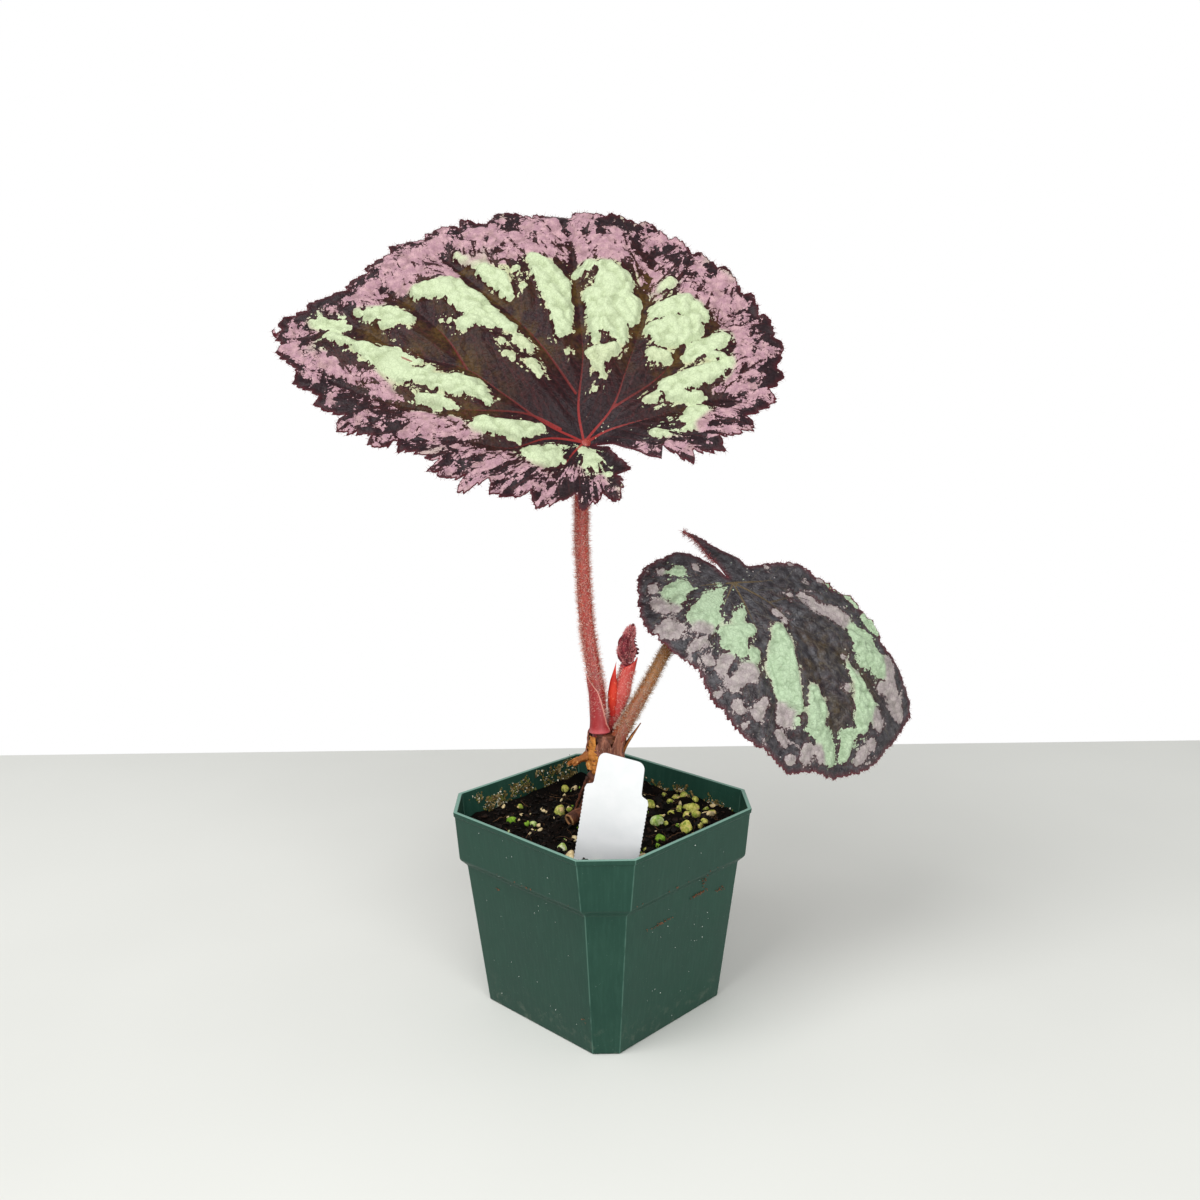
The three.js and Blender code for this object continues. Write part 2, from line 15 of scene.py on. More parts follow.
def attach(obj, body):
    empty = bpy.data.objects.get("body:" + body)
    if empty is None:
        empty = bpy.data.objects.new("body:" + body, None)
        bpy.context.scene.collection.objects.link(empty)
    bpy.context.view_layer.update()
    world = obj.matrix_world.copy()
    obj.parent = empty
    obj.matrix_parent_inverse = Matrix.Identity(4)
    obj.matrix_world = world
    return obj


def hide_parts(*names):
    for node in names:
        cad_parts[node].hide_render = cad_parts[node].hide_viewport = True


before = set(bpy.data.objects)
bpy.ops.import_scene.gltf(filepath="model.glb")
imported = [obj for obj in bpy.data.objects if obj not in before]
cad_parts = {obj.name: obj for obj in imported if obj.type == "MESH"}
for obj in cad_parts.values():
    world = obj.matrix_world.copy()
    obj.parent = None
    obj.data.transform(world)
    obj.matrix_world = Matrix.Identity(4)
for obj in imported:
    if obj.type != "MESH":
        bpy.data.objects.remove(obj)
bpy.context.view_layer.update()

MM = 0.001

# ---- Sizes, as in the CAD ----------------------------------------------------------------------

WALL = 1.2
FLOOR = 1.6
BASE = (0, 37.8, 7.5)  # height, half width across the flats, corner cut
BODY_TOP = (62.2, 45.0, 11.1)
BAND_FOOT = (65.3, 48.1, 13.2)
RIM = (86.5, 50.8, 15.7)
BEAD_HEIGHT = 2.2
BEAD_PROUD = 0.45
DRAIN_RADIUS = 4.5
DRAIN_RING = 31
SOIL_LEVEL = 75.5

LARGE_STALK = [
    (-0.7, 1, 112.5), (-1.4, 3, 131.6), (-3.4, 5, 143.8), (-5.8, 7, 160.5), (-6.8, 8, 177.4),
    (-7.5, 9, 194), (-7.2, 10.5, 213),
]
SMALL_STALK = [(6.2, -0.4, 112.8), (9.5, 1.2, 118.6), (18.4, 6, 133), (28.5, 11, 149.8), (41, 17, 164)]
SHOOT_STALK = [(4.2, 6.8, 112.5), (5.4, 6.8, 124.4), (8, 6.2, 134), (9.6, 5.6, 143.2)]

LARGE = {
    "name": "leaf_large",
    "slot": "large_blade",
    "joint": (-6.2, 4, 234.7),
    "turn": 0,
    "pitch": 54,
    "sinus_way": -25,  # which way the gap between its two lower lobes points, in its plane
    "flow": (80, 0.65),  # how fast the pattern runs round the joint, and outwards
    "relief": 3.0,
    "blister": 5.2,  # across one blister
    "dark_relief": 0.12,
    "crease": 0.10,
    "ruffle": 2.1,
    "bold": lambda x, y: 0.75 + 0.4 * ease(-y, -30, 15),
    "apex": 22,
    "outline": [
        (30, -15), (42, -15), (54, -10), (66, 1), (74, 12), (79, 27), (79, 40), (74, 56), (64, 72),
        (51, 85), (40, 95), (27, 104), (8, 109), (-14, 109), (-28, 110), (-42, 107), (-54, 105),
        (-66, 99), (-78, 94), (-89, 83), (-100, 71), (-114, 64), (-126, 53), (-122, 41), (-112, 23),
        (-103, 13), (-93, 1), (-78, -8), (-67, -10), (-57, -20), (-47, -27), (-36, -29), (-22, -33),
        (-6, -35), (5, -35), (13, -31), (17, -22), (14.5, -14), (10, -6.5),
    ],
    "sinus": [(3.6, -1.9), (10, -4.6), (20, -9.6)],
    "veins": [
        [(0, 0), (-14, 5), (-32, 18), (-46, 29), (-63, 35), (-77, 42), (-92, 53), (-116, 55)],
        [(-46, 29), (-55, 45), (-70, 62), (-82, 72)],
        [(-3, 19), (-20, 45), (-45, 73), (-60, 90)],
        [(0, 0), (-2, 12), (0, 36), (-3, 74), (-5, 99)],
        [(0, 0), (11, 12), (17, 28), (23, 48), (26, 64), (31, 91)],
        [(11, 12), (28, 23), (39, 35), (51, 47), (65, 59)],
        [(0, 0), (9, 3), (28, 7), (42, 11), (62, 16)],
        [(-9, 4), (-22, 9), (-45, 10), (-65, 11), (-86, 19), (-100, 27)],
        [(0, 0), (-14, -1), (-29, -7), (-45, -4), (-71, -3)],
        [(0, 0), (-5, -8), (-9, -16), (-15, -26)],
    ],
}
SMALL = {
    "name": "leaf_small",
    "slot": "small_blade",
    "joint": (54.5, 12, 175.6),
    "turn": 12,
    "pitch": 60,
    "sinus_way": 118,
    "flow": (48, 0.75),
    "relief": 3.1,
    "blister": 3.8,
    "dark_relief": 0.2,
    "crease": 1.25,
    "ruffle": 0.9,
    "bold": lambda x, y: 0.8 + 0 * x,
    "apex": 18,
    "outline": [
        (-5.5, 8.5), (-11, 14), (-17, 17), (-25, 16.5), (-34, 12), (-38, 4), (-39, -12), (-34, -23),
        (-23, -35), (-17, -49), (-9, -61), (3, -71), (13, -79), (24, -79.5), (36, -81.5), (48, -80),
        (60, -73), (71, -64), (79, -57), (79, -48), (72, -35), (65, -22), (56, -11), (44, -1),
        (31, 8), (22, 9), (13, 8), (8, 8), (5, 12), (-3, 18.5), (-14, 29),
    ],
    "sinus": [(-4.2, 8.6), (-1.5, 2.7)],
    "veins": [
        [(0, 0), (12, 0), (30, 1), (44, -4)],
        [(0, 0), (13, -10), (22, -21), (28, -35), (34, -58), (36, -80)],
        [(13, -10), (28, -8), (45, -18), (62, -27)],
        [(22, -21), (37, -29), (59, -46), (73, -58)],
        [(0, 0), (5, -20), (10, -40), (14, -66)],
        [(0, 0), (-8, -14), (-12, -30)],
        [(0, 0), (-16, 0), (-34, -4)],
    ],
}

# The pale blotches of each blade, in its plane: strokes through (x, y, half width) points.
LARGE_GREEN = [
    [(-67, 68, 4), (-54, 69, 6), (-45, 60, 7), (-39, 53, 6), (-29, 48, 3)], [(-47, 50, 4)],
    [(-87, 58, 2.5), (-78, 57, 4), (-71, 54, 3.5)], [(-82, 52, 1.5), (-77, 51, 1.5)],
    [(-107, 56, 3), (-97, 53, 3)], [(-103, 49, 2.5), (-94, 43, 2.5)],
    [(-89, 41, 3.5), (-81, 35, 5), (-73, 33, 3.5)], [(-77, 38, 4.5)],
    [(-72, 24, 2.5), (-65, 25, 3.5), (-58, 22, 3.5), (-50, 21, 5), (-43, 20, 4), (-37, 13, 2)],
    [(-64, 15, 2), (-57, 13, 3), (-49, 11, 1)],
    [(-39, 3, 4), (-31, 1, 4), (-24, 1, 4), (-17, 3, 2)], [(-25, -3, 2)],
    [(-21, -9, 3.5), (-12, -8, 4), (-9, -11, 2)], [(-9, -4, 1.3)],
    [(2, -7, 2.5), (3, -12, 3.5), (4, -17, 2)], [(9, -20, 1.5)],
    [(-41, 78, 3.5), (-35, 73, 4), (-30, 64, 2.5)], [(-24, 68, 1.4)],
    [(-20, 83, 3), (-15, 76, 6), (-11, 68, 7), (-9, 58, 5), (-8, 48, 4)],
    [(-2, 76, 2.5), (3, 80, 3)],
    [(10, 78, 4), (13, 70, 8), (13, 58, 8), (13, 48, 5), (16, 42, 2.5)],
    [(4, 64, 4), (5, 54, 3.5), (5, 42, 2)], [(21, 60, 3.5), (19, 52, 4)],
    [(31, 55, 4.5), (41, 58, 5), (48, 53, 4)], [(29, 46, 4.5), (36, 46, 6), (44, 47, 5)],
    [(32, 42, 4.5), (41, 41, 3)], [(55, 41, 4.5), (46, 37, 5), (42, 33, 3)], [(51, 33, 2.5), (55, 32, 2)],
    [(53, 26, 4), (43, 22, 4.5), (34, 19, 5)], [(35, 15, 2.5), (46, 14, 2.5)],
    [(39, 3, 2.5), (43, 7, 4), (47, 9, 2.5)], [(28, -2, 2.5), (31, -3, 2)],
]
LARGE_CREAM = [
    [(-26, 42, 3), (-22, 38, 2.5)], [(-32, 40, 1.5)], [(-30, 34, 2), (-28, 32, 1.5)], [(-57, 53, 0.9)],
    [(-53, 52, 1.5)], [(-66, 33, 2.5)], [(-61, 29, 2)], [(-20, 30, 2.5), (-17, 25, 1.5)], [(-9, 44, 2.5)],
    [(-6, 36, 1.1)], [(3, 36, 2.5), (12, 37, 3)], [(5, 31, 2), (8, 33, 3)], [(7, 28, 2), (8, 25, 1.1)],
    [(5, 20, 1.5)], [(28, 34, 3.5), (33, 33, 3)], [(25, 14, 2), (29, 15, 2.5)],
    [(-52, 87, 2.5), (-47, 84, 3)], [(-44, 83, 2.5), (-40, 84, 3.5)], [(-27, 77, 2)],
    [(30, 65, 2), (36, 70, 3)], [(59, 29, 3)], [(-111, 56, 2.5)], [(-92, 59, 2)], [(41, -1, 2.5)],
    [(-18, -14, 2.5), (-12, -13, 2.5)], [(-1, -4, 2)], [(-42, 0, 2.5)],
]
LARGE_MAUVE = [
    [(-73, 86, 5.5), (-62, 92, 5)], [(-71, 79, 5), (-58, 80, 4)], [(-79, 75, 3), (-75, 71, 3.5)],
    [(-83, 77, 1.5)], [(-94, 67, 2.5), (-87, 72, 3.5)], [(-104, 61, 1.4), (-97, 65, 2), (-92, 65, 2)],
    [(-122, 57, 2), (-116, 54, 3.5), (-110, 51, 3)], [(-119, 47, 1.5)], [(-122, 44, 2), (-120, 41, 1.3)],
    [(-113, 30, 3), (-107, 27, 3)], [(-104, 34, 2)], [(-100, 29, 1.5)], [(-99, 22, 2.5), (-100, 17, 2.5)],
    [(-91, 28, 3), (-82, 26, 3.5), (-77, 24, 2.5)], [(-81, 14, 2)], [(-74, 14, 2.5)],
    [(-47, 97, 4), (-43, 100, 3.5)], [(-34, 96, 4), (-28, 96, 3)], [(-51, 94, 2.5)], [(-56, 97, 2)],
    [(-48, 89, 3)], [(-31, 94, 3.5), (-30, 88, 3.5)], [(-20, 101, 4.5), (-12, 104, 4)],
    [(-17, 95, 4), (-13, 95, 3)], [(-18, 89, 3.5), (-13, 87, 3)], [(-3, 104, 3.5), (4, 103, 3)],
    [(-4, 99, 5), (-1, 90, 5)], [(11, 94, 3.5), (13, 91, 2)], [(14, 85, 2.5), (10, 84, 1.5)],
    [(24, 82, 3.5), (28, 78, 4)], [(29, 92, 4), (33, 97, 3.5)], [(31, 84, 3.5)],
    [(35, 80, 3.5), (39, 77, 3)], [(43, 85, 2.5)], [(43, 66, 2.5), (48, 69, 3.5)], [(54, 69, 1.5)],
    [(57, 60, 2.5), (64, 62, 3.5)], [(61, 57, 3)], [(65, 55, 3)], [(57, 51, 2)],
    [(64, 43, 2.5), (65, 40, 2)], [(68, 36, 1.5), (73, 36, 3)], [(64, 29, 2.5), (68, 31, 2)],
    [(66, 24, 2)], [(53, 17, 2.5), (60, 17, 4), (63, 15, 2.5)], [(56, 6, 4), (59, 4, 2.5)],
    [(63, 11, 3), (70, 13, 1.2)], [(49, 5, 3), (46, 1, 3.5)], [(49, -6, 2.5), (53, -5, 2.5)],
    [(40, -7, 1.5)], [(33, -8, 2)], [(29, -9, 2)], [(17, -9, 1), (22, -9, 2)],
    [(-91, 4, 2), (-86, 7, 3.5)], [(-79, 3, 2)], [(-75, -5, 1.5), (-71, -4, 2.5)], [(-67, -4, 1.3)],
    [(-68, 4, 2.5), (-61, 4, 4), (-54, 3, 2.5)], [(-48, 0, 2.5), (-41, -2, 2.5)],
    [(-55, -19, 1.5), (-50, -19, 3.5)], [(-43, -10, 3), (-44, -14, 2)], [(-36, -13, 3.5), (-30, -12, 3)],
    [(-37, -26, 1.5), (-34, -22, 2.5)], [(-21, -29, 2.5), (-19, -25, 3.5), (-14, -25, 2.5)],
    [(-27, -18, 2)], [(-23, -16, 2.5)], [(-17, -18, 2)], [(-6, -18, 3.5)], [(-3, -16, 2)],
    [(6, -22, 2.5), (5, -28, 2)], [(-12, -21, 1.5)],
    [(-75, 73, 3.5), (-66, 78, 3.5), (-52, 77, 3.5)], [(-46, 84, 3.5), (-38, 84, 3), (-29, 84, 3.5)],
    [(-25, 90, 3.5), (-16, 88, 3), (-6, 87, 3.5)], [(0, 85, 3.5), (9, 87, 3.5), (20, 84, 3.5)],
    [(27, 71, 3), (31, 63, 2)], [(42, 65, 3), (54, 60, 3), (61, 50, 2.5)], [(62, 36, 2), (61, 22, 2)],
    [(-92, 66, 2.5), (-83, 62, 2.5)],
]
SMALL_GREEN = [
    [(-24, 8, 1.2), (-20, 8, 1.6)], [(-26, 0, 2.2), (-20, 0.5, 2.8)], [(-23, -5, 2.6)],
    [(-6, -2, 1.6), (-10, -7, 3.2), (-16, -12, 3.6), (-19, -14, 3)], [(-11, -15, 3)],
    [(0, -14, 2), (-2, -17, 2)], [(-7, -22, 3), (2, -22, 3)],
    [(-8, -26, 2.5), (-4, -27, 3.5), (-3, -31, 2)], [(2, -32, 2.5), (2, -34, 2)],
    [(14, -23, 3), (14, -30, 4.5), (13, -38, 6), (14, -46, 5), (18, -54, 2.5)], [(18, -59, 1)],
    [(26, -48, 2.5), (27, -55, 4.5), (26, -62, 4)], [(29, -65, 3), (32, -71, 2.5), (33, -76, 1.5)],
    [(41, -66, 3), (39, -74, 2)], [(45, -38, 1.5), (46, -42, 1.5)],
    [(49, -45, 3), (50, -53, 5), (48, -63, 2.5)], [(51, -22, 3), (55, -27, 6), (60, -34, 4), (62, -40, 2.5)],
    [(53, -36, 2)], [(44, -1, 1.4), (49, -3, 1.4)], [(52, -7, 1.5), (55, -11, 1.5)],
    [(58, -16, 1.5), (61, -18, 1.5), (64, -22, 1.3)],
]
SMALL_MAUVE = [
    [(-31, -6, 2.5), (-29, -8, 2.5)], [(-25, -9, 1.5)], [(-32, 2, 2)], [(-28, 9, 1.3)], [(-14, 9, 1.3)],
    [(-18, -18, 3), (-14, -19, 2.5)], [(-18, -25, 2), (-22, -27, 1.5)], [(-33, -19, 2.5), (-30, -16, 2.5)],
    [(-29, -21, 2), (-26, -19, 2)], [(-9, -33, 2.5), (-12, -37, 2)], [(-16, -33, 2)],
    [(-1, -39, 3.5), (-8, -44, 2.5)], [(12, -53, 2.5), (12, -58, 3), (16, -56, 2)],
    [(11, -67, 2), (9, -63, 1.3)], [(15, -15, 1.5)], [(18, -19, 1.3)], [(27, -71, 2.5), (28, -74, 2)],
    [(43, -34, 1.3)], [(42, -47, 1.1)], [(49, -40, 1.1)], [(56, -57, 3), (57, -61, 3)], [(53, -69, 2)],
    [(48, -73, 2), (45, -76, 1.5)], [(34, -12, 2), (44, -16, 3), (47, -18, 3)],
    [(66, -35, 3), (67, -46, 3)], [(62, -45, 2)], [(70, -52, 3.5), (72, -56, 3)], [(23, -7, 0.9)],
    [(28, -7, 1.2), (33, -9, 1.2)], [(40, 1, 1.4)], [(16, 7, 1)], [(27, 8, 0.9)],
    [(-8, -52, 2), (-6, -54, 1.5)], [(4, -51, 1.5), (0, -56, 2.5)], [(-15, -47, 1.5)],
    [(21, -71, 2.5), (20, -74, 2.5)], [(14, -74, 2), (12, -74, 1.4)], [(-33, 10, 0.8)], [(-5, -60, 1.2)],
]


# ---- Camera, light and floor -------------------------------------------------------------------

CAMERA_PLACE = (-8.4, -482.6, 272.0)
CAMERA_TURN = (0.953, 11.758, -0.413)  # degrees to the right, down, and anticlockwise
FOCAL_PIXELS = 1230
PHOTO_PIXELS = 1200
SENSOR = 36
FLOOR_BACK = 325  # where the floor ends behind the pot
FLOOR_HALF = 2500
FLOOR_FRONT = -2000
AMBIENT = 0.46
LIGHT_AIM = (0, 0, 0.15)


def put(name, data):
    made = bpy.data.objects.new(name, data)
    bpy.context.scene.collection.objects.link(made)
    return made


def camera():
    data = bpy.data.cameras.new("photo_camera")
    data.sensor_width = SENSOR
    data.lens = SENSOR * FOCAL_PIXELS / PHOTO_PIXELS
    data.clip_start, data.clip_end = 0.01, 20
    yaw, drop, roll = (math.radians(a) for a in CAMERA_TURN)
    pose = Matrix.Translation(Vector(CAMERA_PLACE) * MM)
    for angle, axis in ((-yaw, "Z"), (math.pi / 2 - drop, "X"), (roll, "Z")):
        pose = pose @ Matrix.Rotation(angle, 4, axis)
    bpy.context.scene.camera = put("photo_camera", data)
    bpy.context.scene.camera.matrix_world = pose


def softbox(name, place, size, power):
    data = bpy.data.lights.new(name, "AREA")
    data.size, data.energy = size, power
    lamp = put(name, data)
    lamp.location = place
    lamp.rotation_euler = (Vector(LIGHT_AIM) - Vector(place)).to_track_quat("-Z", "Y").to_euler()


def studio():
    """A white backdrop, with a softer light of its own than it shows, and two softboxes."""
    world = bpy.data.worlds.new("studio")
    bpy.context.scene.world = world
    world.use_nodes = True
    nodes, links = world.node_tree.nodes, world.node_tree.links
    glow, backdrop = nodes["Background"], nodes.new("ShaderNodeBackground")
    for shade, strength in ((glow, AMBIENT), (backdrop, 1)):
        shade.inputs["Color"].default_value = (1, 1, 1, 1)
        shade.inputs["Strength"].default_value = strength
    choice = nodes.new("ShaderNodeMixShader")
    seen = nodes.new("ShaderNodeLightPath").outputs["Is Camera Ray"]
    for k, source in enumerate((seen, glow.outputs[0], backdrop.outputs[0])):
        links.new(source, choice.inputs[k])
    links.new(choice.outputs[0], nodes["World Output"].inputs["Surface"])
    softbox("key", (-0.68, -0.62, 1.35), 1.0, 14.5)
    softbox("fill", (0.4, -1.4, 0.7), 1.2, 16)


# ---- Materials ---------------------------------------------------------------------------------


def rgb(tone):
    """A colour given as on screen, from 0 to 255, in linear light."""
    return (*(((c / 255 + 0.055) / 1.055) ** 2.4 if c > 10 else c / 3295 for c in tone), 1.0)


class Field:
    """What a node puts out. It adds up and multiplies as a number does."""

    def __init__(self, paint, socket):
        self.paint, self.socket = paint, socket

    def __add__(self, other):
        return self.paint.math("ADD", self, other)

    def __sub__(self, other):
        return self.paint.math("SUBTRACT", self, other)

    def __rsub__(self, other):
        return self.paint.math("SUBTRACT", other, self)

    def __mul__(self, other):
        return self.paint.math("MULTIPLY", self, other)

    def __or__(self, other):
        """The larger of the two."""
        return self.paint.math("MAXIMUM", self, other)

    def step(self, low, high, at_low=0.0, at_high=1.0):
        """Runs smoothly from at_low to at_high as the field goes from low to high."""
        sockets = {0: self, 1: low, 2: high, 3: at_low, 4: at_high}
        return self.paint.node("ShaderNodeMapRange", sockets, interpolation_type="SMOOTHSTEP")


class Paint:
    """A material painted in coats over a first tone. A tone is an on-screen colour or a field."""

    def __init__(self, name, tone, roughness, specular):
        self.material = bpy.data.materials.new(name)
        self.material.use_nodes = True
        self.tree = self.material.node_tree
        self.shader = self.tree.nodes["Principled BSDF"]
        self.tone = tone
        self.set("Roughness", roughness)
        self.set("Specular IOR Level", specular)

    def feed(self, socket, value):
        if isinstance(value, Field):
            self.tree.links.new(value.socket, socket)
        else:
            socket.default_value = value

    def set(self, name, value):
        self.feed(self.shader.inputs[name], value)

    def node(self, kind, inputs, output=0, **settings):
        node = self.tree.nodes.new(kind)
        for key, value in settings.items():
            setattr(node, key, value)
        for key, value in inputs.items():
            self.feed(node.inputs[key], value)
        return Field(self, node.outputs[output])

    def math(self, operation, a, b):
        return self.node("ShaderNodeMath", {0: a, 1: b}, operation=operation)

    def mix(self, cover, under, over, blend="MIX"):
        under, over = (tone if isinstance(tone, Field) else rgb(tone) for tone in (under, over))
        return self.node("ShaderNodeMix", {0: cover, 6: under, 7: over}, 2, data_type="RGBA", blend_type=blend)

    def coat(self, tone, cover, blend="MIX"):
        self.tone = self.mix(cover, self.tone, tone, blend)

    def place(self):
        """The point in the row frame, in metres."""
        return self.node("ShaderNodeTexCoord", {}, "Object")

    def drawn_out(self, at, stretch):
        """The place, with its heights scaled, so that a pattern on it is drawn out upwards."""
        return self.node("ShaderNodeMapping", {"Vector": at, "Scale": (1.0, 1.0, stretch)})

    def noise(self, at, scale, detail=3, rough=0.55, warp=0.0):
        sockets = {"Vector": at, "Scale": scale, "Detail": detail, "Roughness": rough, "Distortion": warp}
        return self.node("ShaderNodeTexNoise", sockets)

    def cells(self, at, scale, output=0, **settings):
        return self.node("ShaderNodeTexVoronoi", {"Vector": at, "Scale": scale}, output, **settings)

    def cracks(self, at, scale):
        return self.cells(at, scale, feature="DISTANCE_TO_EDGE")

    def warped(self, at, scale, amount):
        """The same place, pushed about by noise."""
        push = self.node("ShaderNodeTexNoise", {"Vector": at, "Scale": scale}, "Color")
        return self.node("ShaderNodeVectorMath", {0: push, 1: (amount,) * 3, 2: at}, operation="MULTIPLY_ADD")

    def axes(self, vector):
        split = self.tree.nodes.new("ShaderNodeSeparateXYZ")
        self.feed(split.inputs[0], vector)
        return [Field(self, out) for out in split.outputs]

    def marks(self, name):
        """The three numbers that a mesh carries at each point under that name, then all as one."""
        vector = self.node("ShaderNodeAttribute", {}, "Vector", attribute_name=name)
        return *self.axes(vector), vector

    def done(self, height=None, strength=1.0, distance=0.001):
        """The material, in its last tone and with the height as its bump."""
        self.set("Base Color", self.tone if isinstance(self.tone, Field) else rgb(self.tone))
        if height:
            sockets = {"Height": height, "Strength": strength, "Distance": distance}
            self.set("Normal", self.node("ShaderNodeBump", sockets))
        return self.material


def plain_paint(name, tone, roughness=0.5, specular=0.4, tint=None, scale=600):
    p = Paint(name, tone, roughness, specular)
    if tint:
        p.coat(tint, p.noise(p.place(), scale, 3).step(0.3, 0.7))
    return p.done()


def grain_paint(name, low, high, moss=None, blush=None):
    p = Paint(name, low, 0.7, 0.15)
    at = p.place()
    p.coat(high, p.noise(at, 700, 4, 0.65).step(0.35, 0.65))
    if blush:
        p.coat(blush, p.noise(at, 330, 2).step(0.54, 0.66, 0, 0.9))
    if moss:
        p.coat(moss, p.noise(at, 420, 3).step(0.5, 0.62, 0, 0.85))
    return p.done(p.noise(at, 1600, 3, 0.6), 0.6, 0.0003)


def bark_paint(name, low, high, pale, scale=1.0, stretch=1.0):
    """Rough brown skin. A small stretch draws its grain out upwards."""
    p = Paint(name, low, 0.6, 0.35)
    at = p.drawn_out(p.place(), stretch)
    fine = p.noise(at, 1300 * scale, 3, 0.6)
    p.coat(high, p.noise(at, 260 * scale, 5, 0.65).step(0.3, 0.7))
    p.coat(pale, fine.step(0.6, 0.72, 0, 0.7))
    return p.done(fine, 0.6, 0.0004)


def stalk_paint(name, stops, streak, fleck, hem=None):
    """A stalk's skin: colours by height in millimetres, fine streaks along it, flecks, and a hem."""
    p = Paint(name, stops[0][1], 0.42, 0.5)
    at = p.place()
    height = p.axes(at)[2]
    for (low, _), (high, tone) in zip(stops, stops[1:]):
        p.coat(tone, height.step(low * MM, high * MM))
    along = p.drawn_out(at, 0.12)
    p.coat(streak, p.noise(along, 1500, 3, 0.6).step(0.45, 0.75, 0, 0.5))
    p.coat(fleck, p.cells(at, 950).step(0.22, 0.12, 0, 0.6))
    if hem:
        # A band along a plate's side edges; on the stalk sheath it is a painted highlight.
        p.coat(hem, p.marks("wear_and_highlight")[0].step(0.86, 0.98, 0.0, 0.85))
    p.set("Subsurface Weight", 0.12)
    p.set("Subsurface Radius", (0.002, 0.0008, 0.0005))
    return p.done(p.noise(along, 1300, 3), 0.4, 0.0003)


def soil_paint():
    p = Paint("soil_mix", (5, 4, 3), 0.85, 0.08)
    at = p.place()
    small = p.noise(at, 900, 4, 0.7)
    p.coat((18, 11, 8), p.noise(at, 160, 5, 0.65).step(0.35, 0.7))
    p.coat((70, 44, 28), small.step(0.62, 0.72, 0, 0.5))
    p.coat((150, 120, 84), p.cells(at, 420).step(0.1, 0.04, 0, 0.35))
    return p.done(small, 0.8, 0.0006)


def pot_plastic():
    p = Paint("pot_plastic", (28, 61, 50), 0.5, 0.16)
    at = p.place()
    height = p.axes(at)[2]
    haze = p.noise(at, 38, 4, 0.6)
    brushed = p.noise(p.drawn_out(at, 0.06), 900, 3, 0.6)
    p.coat((34, 67, 55), haze.step(0.3, 0.75))
    p.coat((66, 104, 90), brushed.step(0.4, 0.75, 0, 0.1))
    p.coat((128, 150, 138), p.noise(at, 1100, 2, 0.7).step(0.70, 0.75, 0.0, 0.3))
    # Paler along the seams on the corners: partly wear, partly a painted highlight along those edges.
    p.coat((98, 136, 122), p.marks("wear_and_highlight")[0] * p.noise(at, 120).step(0.35, 0.6, 0.08, 0.4))
    # The rim's top edge lighter: a painted highlight where the light from above falls on it.
    p.coat((120, 158, 144), height.step((RIM[0] - 0.15) * MM, (RIM[0] - 0.02) * MM))
    dusty = height.step(0.018, 0.0) * p.noise(at, 260, 4, 0.65).step(0.5, 0.7)
    p.coat((104, 112, 98), dusty * 0.35)
    p.set("Roughness", haze.step(0.3, 0.8, 0.36, 0.5))
    return p.done(p.noise(at, 1400, 2, 0.6) + brushed, 0.15, 0.0001)


# ---- Meshes ------------------------------------------------------------------------------------

HAIR_BEND = 0.35


def piece(name, shape, paint, replaces=None, smooth=True, marks=None, face_slots=None):
    """A mesh from points in millimetres and faces, that rides on the plant."""
    points, faces = shape
    mesh = bpy.data.meshes.new(name)
    mesh.from_pydata((np.asarray(points, float) * MM).tolist(), [], [list(f) for f in faces])
    mesh.update()
    for key, values in (marks or {}).items():
        layer = mesh.attributes.new(key, "FLOAT_VECTOR", "POINT")
        layer.data.foreach_set("vector", np.asarray(values, np.float32).ravel())
    for material in paint if isinstance(paint, list) else [paint]:
        mesh.materials.append(material)
    if face_slots is not None:
        mesh.polygons.foreach_set("material_index", np.asarray(face_slots, np.int32))
    mesh.polygons.foreach_set("use_smooth", [smooth] * len(mesh.polygons))
    made = put(name, mesh)
    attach(made, "root")
    if replaces:
        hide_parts(replaces)
    return made


def tripled(values):
    """Numbers as the first of three at each point, as a mesh's marks are kept."""
    values = np.asarray(values, float)
    return np.column_stack([values, values * 0, values * 0])


def unit(vectors):
    vectors = np.asarray(vectors, float)
    return vectors / np.linalg.norm(vectors, axis=-1, keepdims=True)


def run_of(line):
    """How far along a line each of its points is."""
    return np.concatenate([[0], np.cumsum(np.linalg.norm(np.diff(line, axis=0), axis=1))])


def smooth_line(points, count):
    """Equally spaced points on a centripetal Catmull-Rom curve through the given ones."""
    p = np.array(points, float)
    p = np.vstack([2 * p[0] - p[1], p, 2 * p[-1] - p[-2]])
    parts = []
    for a, b, c, d in zip(p, p[1:], p[2:], p[3:]):
        ta, tb, tc = (np.linalg.norm(v) ** 0.5 for v in (b - a, c - b, d - c))
        m1 = tb * ((b - a) / ta - (c - a) / (ta + tb) + (c - b) / tb)
        m2 = tb * ((c - b) / tb - (d - b) / (tb + tc) + (d - c) / tc)
        t = np.linspace(0, 1, 40, endpoint=False)[:, None]
        start = (2 * t**3 - 3 * t**2 + 1) * b + (t**3 - 2 * t**2 + t) * m1
        parts.append(start + (3 * t**2 - 2 * t**3) * c + (t**3 - t**2) * m2)
    line = np.vstack(parts + [p[-2:-1]])
    run = run_of(line)
    at = np.linspace(0, run[-1], count)
    return np.stack([np.interp(at, run, line[:, k]) for k in range(p.shape[1])], 1), run[-1]


def ease(x, low=0.0, high=1.0):
    t = np.clip((np.asarray(x, float) - low) / (high - low), 0, 1)
    return t * t * (3 - 2 * t)


